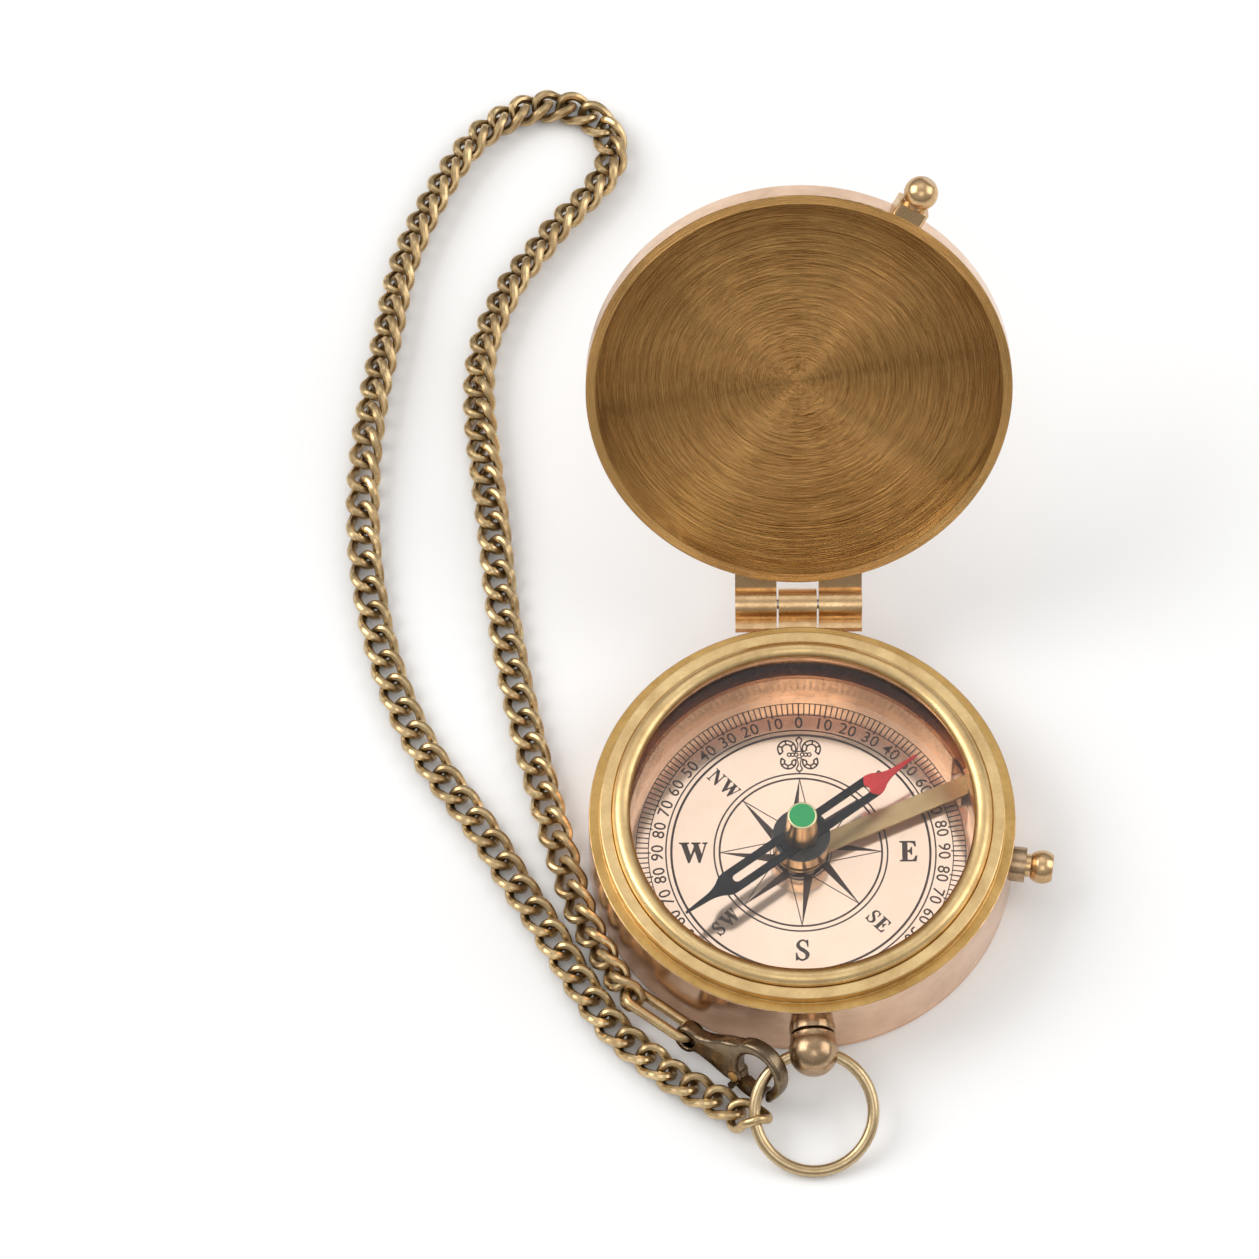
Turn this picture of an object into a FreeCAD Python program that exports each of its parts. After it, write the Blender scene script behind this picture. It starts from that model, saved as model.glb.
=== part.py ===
"""Pocket compass: lidded brass case, locking needle, bow ring and a curb chain on a lobster clasp.

Lengths are millimetres, angles degrees. The origin is the centre of the case's base, +Z is up, +Y points
to the lid's hinge, and the lid stands open on its stop.
"""
import FreeCAD, Part
import math
import os
from FreeCAD import Placement, Rotation, Vector

# Case
case_radius = 25.0
case_height = 10.7
case_wall_thickness = 3.1
base_thickness = 0.6
base_edge_round = 0.3
spigot_height = 1.3
seat_step = 0.4
seat_drop = 0.3
piece_fit = 0.05
through = 1.0

# Rings that hold the glass
seat_ring_width = 1.65
seat_ring_height = 0.6
gasket_width = 1.0
gasket_height = 0.3
crystal_thickness = 1.0
bezel_width = 2.1
bezel_skirt = 0.6
bezel_edge_height = 1.15
bezel_lip = 0.25
bezel_crown = 0.7

# Dial
dial_thickness = 0.3
dial_fit = 0.15
dial_ring_gap = 1.4
dial_ring_thickness = 0.4
dial_ring_height = 4.7
dial_ring_foot = 0.4
dial_ring_slot = 5.2

# Needle and its pivot
boss_radius = 2.6
boss_height = 0.6
pivot_radius = 0.5
pivot_point = 1.5
pivot_fit = 0.02
needle_azimuth = 36.4
blade_rise = 4.9
blade_thickness = 0.3
blade_reach = 17.0
blade_hub_radius = 2.7
blade_half_width = 1.5
blade_slot_width = 1.05
blade_slot_end = 10.0
blade_shoulder = 10.7
blade_neck = 13.0
blade_neck_half_width = 0.5
blade_tip_half_width = 0.12
neck_bow_share = 0.22
disc_radius = 3.4
disc_thickness = 0.5
hub_radius = 3.3
hub_height = 2.4
hub_chamfer = 0.25
cap_foot_radius = 2.03
cap_top_radius = 1.74
cap_spigot_radius = 1.6
cap_bore_radius = 1.15
cap_roof = 0.55
cap_gap = 0.2
cap_edge_round = 0.12
inlay_radius = 1.5
inlay_depth = 0.25
jewel_height = 0.7
jewel_cup_depth = 0.4
jewel_cup_radius = 0.35

# Needle lock
lever_heading = 24.0
lever_offset = -0.75
lever_width = 2.35
lever_thickness = 0.4
lever_gap = 0.4
lever_ring_radius = 3.25
lever_ring_bore = 1.3
lever_axis_azimuth = 66.4
lever_seat_azimuth = 21.4
lever_seat_inset = 1.3
lever_web = 0.1
barrel_radius = 0.4
barrel_length = 1.4
lever_pin_radius = 0.2
bracket_ear = 0.4
bracket_gap = 0.08
bracket_foot = 0.2
tail_width = 0.8
tail_rise = 1.3
tail_overrun = 2.0
tail_gap = 0.05
spring_wire = 0.3
spring_foot_turn = 7.0
spring_rise_turn = 9.0
spring_top_turn = 5.0
button_azimuth = -8.0
button_stem_radius = 1.35
button_groove_depth = 0.2
button_stroke = 0.6
button_tip = 0.5
button_slack = 0.05
button_ball_radius = 1.97
button_ball_length = 2.6
bush_radius = 1.75
bush_flange_radius = 2.07
bush_flange_length = 1.55
notch_clearance = 0.25

# Bow
bow_azimuth = -88.1
bow_level = 6.5
bow_stud_radius = 1.2
bow_stud_length = 2.4
bow_collar_radius = 2.67
bow_collar_length = 0.9
bow_groove_radius = 2.2
bow_groove_length = 0.2
bow_ball_radius = 2.9
bow_ball_seat = 1.07
bow_ball_flat = 0.25
bow_ring_radius = 6.9
bow_wire_radius = 0.7
bow_floor_gap = 0.15
bow_hole_flare = 0.72

# Lid
lid_wall_thickness = 1.15
lid_fit = 0.15
lid_height = 3.5
lid_floor = 0.7
lid_edge_round = 0.6
lid_open_angle = 126.7
hinge_offset = 2.9
hinge_rise = 0.2
knuckle_radius = 1.85
left_knuckle_length = 4.9
middle_knuckle_length = 4.5
right_knuckle_length = 5.1
knuckle_gap = 0.25
hinge_pin_radius = 0.6
hinge_pin_fit = 0.04
leaf_clearance = 0.15
leaf_depth = 1.6
toe_height = 1.0
toe_drop = 0.5
lid_knob_azimuth = -60.0
lid_collar_width = 3.9
lid_collar_height = 3.3
lid_collar_length = 1.5
lid_collar_round = 0.5
lid_neck_radius = 1.5
lid_neck_length = 0.35
lid_knob_radius = 2.0
lid_knob_flat = 0.3

# Lobster clasp, in its own plane: u runs from the eye to the hook, v across
clasp_heading = -34.43
clasp_rise = 13.69
clasp_lean = -68.35
clasp_centre = Vector(-5.629, -29.679, 5.225)
clasp_thickness = 2.0
clasp_loop_radius = 4.0
clasp_hole_radius = 2.6
clasp_hole_shift = 0.3
clasp_eye_reach = 9.6
clasp_eye_radius = 1.75
clasp_eye_bore = 1.05
clasp_eye_thickness = 1.1
clasp_neck_reach = 8.0
clasp_neck_half_width = 1.15
clasp_waist_share = 0.64
gate_pivot_angle = 214.0
gate_end_angle = 300.0
gate_end_margin = 25.0
gate_thickness = 1.4
gate_clearance = 0.15
gate_joint_radius = 1.2
gate_lug_radius = 0.9
gate_lug_thickness = 1.0
rivet_radius = 0.4
rivet_head_radius = 0.65
rivet_head_height = 0.15
thumb_turn = 16.0
thumb_reach = 1.1
clasp_spring_length = 1.3

# Chain
wire_radius = 0.55
link_length = 5.7
link_width = 4.2
link_twist = -1.9
chain_floor_gap = 0.06
path_pieces = 720
link_steps = 16
jump_ring_length = 10.2
jump_ring_width = 4.0
jump_wire_radius = 0.6
jump_ring_centre = Vector(-16.826, -21.708, 3.125)
jump_ring_heading = -36.271
jump_ring_pitch = -0.775
jump_ring_roll = -29.79
end_link_length = 6.2
end_link_width = 4.4
end_link_twist = -2.1
end_link_centre = Vector(-6.78, -34.58, 2.86)
end_link_heading = -23.89
end_link_pitch = 30.87
end_link_roll = -11.59
chain_route = [
    (-6.94, -34.15), (-9.8, -32.5), (-12.4, -30.9), (-15.2, -29.15), (-18.5, -26.25), (-21.8, -23.35),
    (-24.9, -18.9), (-27.8, -13.9), (-30.5, -8.9), (-33.7, -3.9), (-36.5, 1.4), (-39.8, 6.4), (-43.4, 11.4),
    (-46.5, 17.3), (-49.2, 24.7), (-51.2, 33.6), (-52.2, 43.0), (-52.0, 52.6), (-50.9, 61.3),
    (-49.2, 69.9), (-47.8, 78.5), (-45.2, 85.5), (-42.0, 92.0), (-39.0, 96.6), (-35.8, 99.6),
    (-31.4, 101.9), (-26.4, 101.9), (-22.2, 98.6), (-21.6, 93.3), (-24.6, 88.8), (-28.3, 84.9),
    (-31.0, 81.0), (-33.6, 77.6), (-36.0, 72.6), (-38.0, 66.6), (-38.2, 59.0), (-37.3, 51.1),
    (-36.3, 42.9), (-35.5, 33.5), (-34.1, 24.3), (-32.2, 15.0), (-30.0, 6.1), (-27.8, -2.3),
    (-25.75, -9.1), (-22.85, -14.8), (-21.3, -17.6), (-19.1, -20.65),
]
chain_pitch_shares = [
    (0, 3.15), (0.1, 3.4), (0.2, 3.4), (0.34, 3.35), (0.39, 2.97), (0.48, 2.97), (0.57, 2.9),
    (0.62, 2.97), (0.74, 2.97), (0.8, 3.35), (0.93, 3.4), (1, 3.1),
]
chain_roll_shares = [
    (0, -10.0), (0.07, 0), (0.28, 0), (0.38, 40.0), (0.5, 40.0), (0.6, -40.0), (0.7, -40.0),
    (0.8, 0), (0.86, 0), (0.94, -40.0), (1, -88.0),
]
chain_lift_shares = [(0, 0.55), (0.04, 0.1), (0.06, 0), (0.93, 0), (0.97, 0.4), (1, 0.9)]

# Places that follow from the sizes above
case_bore = case_radius - case_wall_thickness
bezel_bore = case_bore + seat_step
spigot_radius = case_radius - lid_wall_thickness - lid_fit
seat_level = case_height - seat_drop
spigot_top = case_height + spigot_height
ring_outer = bezel_bore - piece_fit
seat_ring_top = seat_level + seat_ring_height
crystal_bottom = seat_ring_top + gasket_height
crystal_top = crystal_bottom + crystal_thickness
crystal_radius = ring_outer - bezel_skirt - piece_fit
dial_radius = case_bore - dial_fit
dial_top = base_thickness + dial_thickness
dial_ring_inner = case_bore - dial_ring_gap
dial_ring_outer = dial_ring_inner + dial_ring_thickness
dial_ring_top = dial_top + dial_ring_height
blade_level = dial_top + blade_rise
disc_bottom = blade_level - disc_thickness
hub_bottom = disc_bottom - hub_height
cap_bottom = blade_level + blade_thickness
cap_top = crystal_bottom - cap_gap
jewel_top = cap_top - inlay_depth - cap_roof
jewel_bottom = jewel_top - jewel_height
pivot_tip = jewel_bottom + jewel_cup_depth - pivot_fit
lever_top = hub_bottom - lever_gap
lever_bottom = lever_top - lever_thickness
lever_pin_level = lever_bottom - lever_web - barrel_radius
tail_top = lever_top + tail_rise
tail_outer = case_bore - (case_bore - dial_ring_outer - tail_width) / 2
tail_inner = tail_outer - tail_width
button_groove_radius = button_stem_radius - button_groove_depth
button_level = tail_top + tail_gap + button_groove_radius
hinge_y = case_radius + hinge_offset
hinge_z = case_height + hinge_rise
hinge_length = left_knuckle_length + middle_knuckle_length + right_knuckle_length + 2 * knuckle_gap
left_knuckle_x = -hinge_length / 2
middle_knuckle_x = left_knuckle_x + left_knuckle_length + knuckle_gap
right_knuckle_x = middle_knuckle_x + middle_knuckle_length + knuckle_gap
lid_top = case_height + lid_height
lever_seat_radius = case_radius - case_wall_thickness - lever_seat_inset
bow_ball_reach = case_radius + 2 * bow_collar_length + bow_groove_length + bow_ball_seat
bow_tilt = math.degrees(math.asin((bow_level - bow_wire_radius - bow_floor_gap) / (2 * bow_ring_radius)))


def polar(radius, azimuth, level=0):
    """A point at a radius and azimuth round the case's axis."""
    turn = math.radians(azimuth)
    return Vector(radius * math.cos(turn), radius * math.sin(turn), level)


def cylinder(radius, bottom, top):
    """An upright cylinder on the case's axis."""
    return Part.makeCylinder(radius, top - bottom, Vector(0, 0, bottom))


def tube(outer, inner, bottom, top):
    """An upright ring on the case's axis."""
    return cylinder(outer, bottom, top).cut(cylinder(inner, bottom - through, top + through))


def box(low, high):
    """A box between two corners."""
    size = high - low
    return Part.makeBox(size.x, size.y, size.z, low)


def turned(edges):
    """A solid of revolution about Z from profile edges in the XZ plane, X being the radius."""
    return Part.Face(Part.Wire(edges)).revolve(Vector(0, 0, 0), Vector(0, 0, 1), 360)


def profile(points):
    """Edges through (radius, height) points; a third item in a point marks the middle of an arc."""
    spots = [Vector(point[0], 0, point[1]) for point in points]
    marks = [len(point) > 2 for point in points]
    edges = []
    index = 0
    while index < len(spots):
        following = (index + 1) % len(spots)
        if marks[following]:
            last = (index + 2) % len(spots)
            edges.append(Part.Arc(spots[index], spots[following], spots[last]).toShape())
            index += 2
        else:
            edges.append(Part.LineSegment(spots[index], spots[following]).toShape())
            index += 1
    return edges


def radial(shape, azimuth, level):
    """Turns a shape built along +Z so that it points outwards at an azimuth and level."""
    spin = Rotation(Vector(0, 0, 1), azimuth) * Rotation(Vector(0, 1, 0), 90)
    return moved(shape, Placement(Vector(0, 0, level), spin))


def moved(shape, placement):
    """A copy of a shape at a placement."""
    copy = shape.copy()
    copy.Placement = placement.multiply(copy.Placement)
    return copy


def opened(shape):
    """A lid piece, built closed, swung to the open stop."""
    swing = Rotation(Vector(1, 0, 0), -lid_open_angle)
    axis = Vector(0, hinge_y, hinge_z)
    return moved(shape, Placement(axis - swing.multVec(axis), swing))


def along_x(radius, start, length, y, z):
    """A cylinder along X."""
    return Part.makeCylinder(radius, length, Vector(start, y, z), Vector(1, 0, 0))


def blended(point, target, share):
    """The point at a share of the way to a target."""
    return point + (target - point) * share


def ball_arc(radius, centre, low, high):
    """Profile points of a sphere's outline between two heights: start, middle mark and end."""
    def width(height):
        return math.sqrt(radius ** 2 - (height - centre) ** 2)
    middle = (low + high) / 2
    return [(width(low), low), (width(middle), middle, "arc"), (width(high), high)]


def oval_ring(length, width, wire):
    """A flat oval ring of round wire along X, centred on the origin."""
    bend = width / 2 - wire
    half_run = length / 2 - wire - bend
    start = Vector(0, 0, 0)
    round_end = Part.makeTorus(bend, wire, start, Vector(0, 0, 1), 0, 360, 180)
    far_end = moved(round_end, Placement(Vector(half_run, 0, 0), Rotation(Vector(0, 0, 1), -90)))
    near_end = moved(round_end, Placement(Vector(-half_run, 0, 0), Rotation(Vector(0, 0, 1), 90)))
    sides = [along_x(wire, -half_run, 2 * half_run, side * bend, 0) for side in (-1, 1)]
    return far_end.multiFuse([near_end] + sides)


def framed(shape, origin, x_axis, roll):
    """Places a shape so that its X follows x_axis and its Z points up, then rolls it about its X."""
    x_axis = Vector(x_axis).normalize()
    y_axis = Vector(0, 0, 1).cross(x_axis).normalize()
    upright = Rotation(x_axis, y_axis, Vector(0, 0, 0), "XYZ")
    return moved(shape, Placement(origin, upright * Rotation(Vector(1, 0, 0), roll)))


def pointing(heading, pitch):
    """Unit vector at a heading from +X and a pitch above the floor."""
    flat = math.cos(math.radians(pitch))
    turn = math.radians(heading)
    return Vector(flat * math.cos(turn), flat * math.sin(turn), math.sin(math.radians(pitch)))


def make_case_wall():
    """Drum with the lid's ledge and spigot, the glass's seat, and holes for the bush and the bow's stud."""
    wall = cylinder(case_radius, base_thickness, case_height)
    wall = wall.fuse(cylinder(spigot_radius, case_height, spigot_top)).removeSplitter()
    wall = wall.cut(cylinder(case_bore, base_thickness - through, seat_level + through))
    wall = wall.cut(cylinder(bezel_bore, seat_level, spigot_top + through))
    bush_hole = Part.makeCylinder(bush_radius + pivot_fit, case_radius + through)
    wall = wall.cut(radial(bush_hole, button_azimuth, button_level))
    stud_hole = Part.makeCylinder(bow_stud_radius + pivot_fit, bow_stud_length + through,
                                  Vector(0, 0, case_radius - bow_stud_length))
    return wall.cut(radial(stud_hole, bow_azimuth, bow_level))


def make_case_bottom():
    """Base disc with a rounded lower edge."""
    edge = case_radius - base_edge_round
    middle = base_edge_round * (1 - math.sqrt(0.5))
    return turned(profile([(0, 0), (edge, 0), (case_radius - middle, middle, "arc"),
                           (case_radius, base_edge_round), (case_radius, base_thickness),
                           (0, base_thickness)]))


def make_bezel_ring():
    """Rounded ring that presses the glass down, with a skirt round it."""
    inner = ring_outer - bezel_width
    skirt = ring_outer - bezel_skirt
    edge = seat_ring_top + bezel_edge_height
    crown = crystal_top + bezel_crown
    middle = (ring_outer + inner) / 2
    return turned(profile([(skirt, seat_ring_top), (ring_outer, seat_ring_top), (ring_outer, edge),
                           (middle, crown, "arc"), (inner, crystal_top + bezel_lip), (inner, crystal_top),
                           (skirt, crystal_top)]))


def make_crystal():
    """Flat glass."""
    return cylinder(crystal_radius, crystal_bottom, crystal_top)


def make_crystal_gasket():
    """Washer under the glass."""
    return tube(crystal_radius, crystal_radius - gasket_width, seat_ring_top, crystal_bottom)


def make_crystal_seat():
    """Ring on the shoulder of the bore."""
    return tube(ring_outer, ring_outer - seat_ring_width, seat_level, seat_ring_top)


def make_dial_plate():
    """Dial disc with the pivot pin's hole."""
    return tube(dial_radius, pivot_radius + pivot_fit, base_thickness, dial_top)


def make_dial_ring():
    """Thin ring with a foot, split where the lever's bracket stands and notched for the button."""
    ring = tube(dial_ring_outer, dial_ring_inner, dial_top, dial_ring_top)
    ring = ring.fuse(tube(dial_radius, dial_ring_inner, dial_top, dial_top + dial_ring_foot))
    ring = ring.removeSplitter()
    half = dial_ring_slot / 2
    slot = box(Vector(0, -half, dial_top - through), Vector(case_radius, half, dial_ring_top + through))
    ring = ring.cut(moved(slot, Placement(Vector(0, 0, 0), Rotation(Vector(0, 0, 1), lever_seat_azimuth))))
    half = button_stem_radius + notch_clearance
    notch = box(Vector(0, -half, button_level - half), Vector(case_radius, half, dial_ring_top + through))
    return ring.cut(moved(notch, Placement(Vector(0, 0, 0), Rotation(Vector(0, 0, 1), button_azimuth))))


def make_pivot_boss():
    """Low boss that holds the pivot pin on the dial."""
    boss = tube(boss_radius, pivot_radius + pivot_fit, dial_top, dial_top + boss_height)
    rim = [edge for edge in boss.Edges if edge.BoundBox.ZMin > dial_top + boss_height / 2
           and edge.BoundBox.XLength > boss_radius]
    return boss.makeChamfer(boss_height / 3, rim)


def make_pivot_pin():
    """Pin from the base plate up to its point."""
    shoulder = pivot_tip - pivot_point
    return turned(profile([(0, base_thickness), (pivot_radius, base_thickness), (pivot_radius, shoulder),
                           (0, pivot_tip)]))


def make_pivot_jewel():
    """Cup bearing that sits on the pin's point."""
    radius = cap_bore_radius - piece_fit
    return turned(profile([(jewel_cup_radius, jewel_bottom), (radius, jewel_bottom), (radius, jewel_top),
                           (0, jewel_top), (0, jewel_bottom + jewel_cup_depth)]))


def half_blade(side):
    """Outline points of one long edge of the blade, from the south tip to the north tip."""
    run = [(blade_reach, blade_tip_half_width), (blade_neck, blade_neck_half_width),
           (blade_shoulder, blade_half_width)]
    south = [Vector(-x, side * y, 0) for x, y in run]
    north = [Vector(x, side * y, 0) for x, y in reversed(run)]
    return south, north


def make_needle_blade():
    """Blade with two slotted arms and spear heads."""
    edges = []
    chains = [half_blade(1), half_blade(-1)]
    for south, north in chains:
        for tip, neck, shoulder in (south, list(reversed(north))):
            edges.append(Part.LineSegment(tip, neck).toShape())
            bow_in = blended(neck, shoulder, 0.5) - Vector(0, shoulder.y - neck.y, 0) * neck_bow_share
            edges.append(Part.Arc(neck, bow_in, shoulder).toShape())
        edges.append(Part.LineSegment(south[2], north[0]).toShape())
    for tips in ([chain[0][0] for chain in chains], [chain[1][2] for chain in chains]):
        edges.append(Part.LineSegment(*tips).toShape())
    outline = Part.Wire(Part.sortEdges(edges)[0])
    blade = Part.Face(outline).extrude(Vector(0, 0, blade_thickness))
    blade.translate(Vector(0, 0, blade_level))
    for side in (-1, 1):
        blade = blade.cut(blade_slot(side))
    blade = blade.fuse(cylinder(blade_hub_radius, blade_level, cap_bottom)).removeSplitter()
    blade = blade.cut(cylinder(cap_spigot_radius + pivot_fit, blade_level - through, cap_bottom + through))
    return turned_to_north(blade)


def blade_slot(side):
    """Cutter for the round-ended slot of one arm."""
    half = blade_slot_width / 2
    start = disc_radius - half
    end = blade_slot_end - half
    low = blade_level - through
    height = blade_thickness + 2 * through
    slot = Part.makeBox(end - start, blade_slot_width, height, Vector(start, -half, low))
    for x in (start, end):
        slot = slot.fuse(Part.makeCylinder(half, height, Vector(x, 0, low)))
    return moved(slot, Placement(Vector(0, 0, 0), Rotation(Vector(0, 0, 1), 0 if side > 0 else 180)))


def turned_to_north(shape):
    """Turns a needle piece to the needle's azimuth."""
    return moved(shape, Placement(Vector(0, 0, 0), Rotation(Vector(0, 0, 1), needle_azimuth)))


def make_needle_disc():
    """Dark disc under the blade."""
    return tube(disc_radius, cap_spigot_radius + pivot_fit, disc_bottom, blade_level)


def make_needle_hub():
    """Brass hub below the disc, riveted on the cap's spigot."""
    bore = cap_spigot_radius + pivot_fit
    inner_edge = hub_radius - hub_chamfer
    return turned(profile([(bore, hub_bottom), (inner_edge, hub_bottom), (hub_radius, hub_bottom + hub_chamfer),
                           (hub_radius, disc_bottom), (bore, disc_bottom)]))


def make_needle_cap():
    """Tapered cap with a hollow spigot that holds blade, disc and hub together."""
    recess = inlay_radius + pivot_fit
    floor = cap_top - inlay_depth
    edge = cap_top_radius - cap_edge_round
    return turned(profile([(cap_bore_radius, hub_bottom), (cap_spigot_radius, hub_bottom),
                           (cap_spigot_radius, cap_bottom), (cap_foot_radius, cap_bottom),
                           (cap_top_radius, cap_top - cap_edge_round), (edge, cap_top), (recess, cap_top),
                           (recess, floor), (0, floor), (0, jewel_top + pivot_fit),
                           (cap_bore_radius, jewel_top + pivot_fit)]))


def make_cap_inlay():
    """Coloured disc let into the cap's top."""
    return cylinder(inlay_radius, cap_top - inlay_depth, cap_top)


def lever_hinge_point():
    """Centre of the lever's pin."""
    return polar(lever_seat_radius, lever_seat_azimuth, lever_pin_level)


def on_lever_axis(radius, start, length):
    """A cylinder along the lever's hinge axis, measured from the pin's centre."""
    direction = polar(1, lever_axis_azimuth)
    return Part.makeCylinder(radius, length, lever_hinge_point() + direction * start, direction)


def arc_strip(inner, outer, bottom, top, start, sweep):
    """Part of an upright ring from a start azimuth over a sweep."""
    face = Part.Face(Part.Wire(profile([(inner, bottom), (outer, bottom), (outer, top), (inner, top)])))
    strip = face.revolve(Vector(0, 0, 0), Vector(0, 0, 1), sweep)
    return moved(strip, Placement(Vector(0, 0, 0), Rotation(Vector(0, 0, 1), start)))


def make_lifter_lever():
    """Strip with a ring end under the hub, a barrel on the pin, and a tail behind the dial ring."""
    half = lever_width / 2
    strip = box(Vector(0, lever_offset - half, lever_bottom),
                Vector(case_radius, lever_offset + half, lever_top))
    strip = moved(strip, Placement(Vector(0, 0, 0), Rotation(Vector(0, 0, 1), lever_heading)))
    strip = strip.common(cylinder(tail_outer, lever_bottom - through, tail_top + through))
    lever = strip.fuse(cylinder(lever_ring_radius, lever_bottom, lever_top))
    sweep = lever_seat_azimuth - button_azimuth + tail_overrun
    tail = arc_strip(tail_inner, tail_outer, tail_top - lever_thickness, tail_top,
                     button_azimuth - tail_overrun, sweep)
    riser_turn = math.degrees(tail_width / tail_outer)
    riser = arc_strip(tail_inner, tail_outer, lever_bottom, tail_top, lever_seat_azimuth - riser_turn,
                      2 * riser_turn)
    barrel = on_lever_axis(barrel_radius, -barrel_length / 2, barrel_length)
    web = box(Vector(-barrel_length / 2, -barrel_radius, lever_pin_level),
              Vector(barrel_length / 2, barrel_radius, lever_bottom))
    seat = lever_hinge_point()
    web = moved(web, Placement(Vector(seat.x, seat.y, 0), Rotation(Vector(0, 0, 1), lever_axis_azimuth)))
    lever = lever.multiFuse([tail, riser, barrel, web]).removeSplitter()
    lever = lever.cut(cylinder(lever_ring_bore, lever_bottom - through, lever_top + through))
    return lever.cut(on_lever_axis(lever_pin_radius + piece_fit, -barrel_length, 2 * barrel_length))


def make_lever_bracket():
    """Small bracket on the dial with an ear at each end of the lever's barrel."""
    reach = barrel_length / 2 + bracket_gap
    seat = lever_hinge_point()
    turn = Placement(Vector(seat.x, seat.y, 0), Rotation(Vector(0, 0, 1), lever_axis_azimuth))
    foot = box(Vector(-reach - bracket_ear, -barrel_radius, dial_top),
               Vector(reach + bracket_ear, barrel_radius, dial_top + bracket_foot))
    pieces = []
    for side in (-1, 1):
        near, far = sorted((side * reach, side * (reach + bracket_ear)))
        pieces.append(moved(box(Vector(near, -barrel_radius, dial_top),
                                Vector(far, barrel_radius, lever_pin_level)), turn))
        pieces.append(on_lever_axis(barrel_radius, near, bracket_ear))
    bracket = moved(foot, turn).multiFuse(pieces).removeSplitter()
    return bracket.cut(on_lever_axis(lever_pin_radius, -case_radius, 2 * case_radius))


def make_lever_pin():
    """Pin across the bracket."""
    reach = barrel_length / 2 + bracket_gap + bracket_ear
    return on_lever_axis(lever_pin_radius, -reach, 2 * reach)


def make_lever_spring():
    """Bent wire behind the dial ring that holds the lever's tail up against the button."""
    radius = spring_wire / 2
    middle = (tail_inner + tail_outer) / 2
    low = dial_top + dial_ring_foot + radius
    high = tail_top - lever_thickness - radius
    start = button_azimuth + spring_foot_turn + spring_rise_turn + spring_top_turn
    turns = [(start, low), (start - spring_foot_turn, low),
             (start - spring_foot_turn - spring_rise_turn, high), (button_azimuth, high)]
    spots = [polar(middle, azimuth, level) for azimuth, level in turns]
    wire = Part.makeSphere(radius, spots[0])
    for first, second in zip(spots, spots[1:]):
        run = second - first
        wire = wire.fuse(Part.makeCylinder(radius, run.Length, first, run))
        wire = wire.fuse(Part.makeSphere(radius, second))
    return wire


def make_lock_bush():
    """Bush in the wall with a flange that fits the drum outside."""
    start = math.sqrt(case_bore ** 2 - bush_radius ** 2)
    barrel = Part.makeCylinder(bush_radius, case_radius - start, Vector(0, 0, start))
    barrel = radial(barrel, button_azimuth, button_level).cut(cylinder(case_bore, 0, case_height))
    flange = Part.makeCylinder(bush_flange_radius, bush_flange_length + through,
                               Vector(0, 0, case_radius - through))
    flange = radial(flange, button_azimuth, button_level).cut(cylinder(case_radius, 0, case_height))
    bore = Part.makeCylinder(button_stem_radius + button_slack, 2 * case_radius)
    return flange.fuse(barrel).cut(radial(bore, button_azimuth, button_level)).removeSplitter()


def make_lock_button():
    """Stem with the groove that the lever's tail rides in, and a ball head."""
    ball_start = case_radius + bush_flange_length + button_stroke + button_slack
    ball_end = ball_start + button_ball_length
    widest = (ball_start + ball_end) / 2
    neck = button_stem_radius
    tip = tail_inner - button_slack
    cone = tail_outer + button_slack
    return radial(turned(profile([(0, tip - button_tip), (neck, tip - button_tip), (neck, tip),
                                  (button_groove_radius, tip), (button_groove_radius, cone),
                                  (neck, cone + button_stroke), (neck, ball_start),
                                  (button_ball_radius, widest, "arc"), (neck, ball_end), (0, ball_end)])),
                  button_azimuth, button_level)


def bow_ball_centre():
    """Centre of the bow's ball."""
    return polar(bow_ball_reach, bow_azimuth, bow_level)


def make_bow_post():
    """Stud, two collars and a ball with a flared hole for the ring."""
    first = case_radius + bow_collar_length
    second = first + bow_groove_length
    third = second + bow_collar_length
    end = bow_ball_reach + bow_ball_radius - bow_ball_flat
    outline = [(0, case_radius - through), (bow_collar_radius, case_radius - through),
               (bow_collar_radius, first), (bow_groove_radius, first), (bow_groove_radius, second),
               (bow_collar_radius, second), (bow_collar_radius, third)]
    outline += ball_arc(bow_ball_radius, bow_ball_reach, third, end) + [(0, end)]
    post = radial(turned(profile(outline)), bow_azimuth, bow_level)
    post = post.cut(cylinder(case_radius, 0, case_height))
    stud = Part.makeCylinder(bow_stud_radius, bow_stud_length, Vector(0, 0, case_radius - bow_stud_length))
    post = post.fuse(radial(stud, bow_azimuth, bow_level))
    narrow = bow_wire_radius + piece_fit
    centre = bow_ball_centre()
    for side in (-1, 1):
        post = post.cut(Part.makeCone(narrow, narrow + bow_hole_flare, bow_ball_radius, centre,
                                      Vector(side, 0, 0)))
    return post


def bow_ring_centre():
    """Centre of the bow ring."""
    drop = math.radians(bow_tilt)
    return bow_ball_centre() - Vector(0, math.cos(drop), math.sin(drop)) * bow_ring_radius


def make_bow_ring():
    """Wire ring through the ball, lying down to the floor."""
    ring = Part.makeTorus(bow_ring_radius, bow_wire_radius)
    return moved(ring, Placement(bow_ring_centre(), Rotation(Vector(1, 0, 0), bow_tilt)))


def on_bow_ring(angle):
    """Point on the bow ring's centreline, at an angle from the ball towards -X."""
    drop = math.radians(bow_tilt)
    turn = math.radians(angle)
    outward = Vector(0, -math.cos(drop), -math.sin(drop))
    return bow_ring_centre() - outward * (bow_ring_radius * math.cos(turn)) - Vector(
        bow_ring_radius * math.sin(turn), 0, 0)


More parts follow.
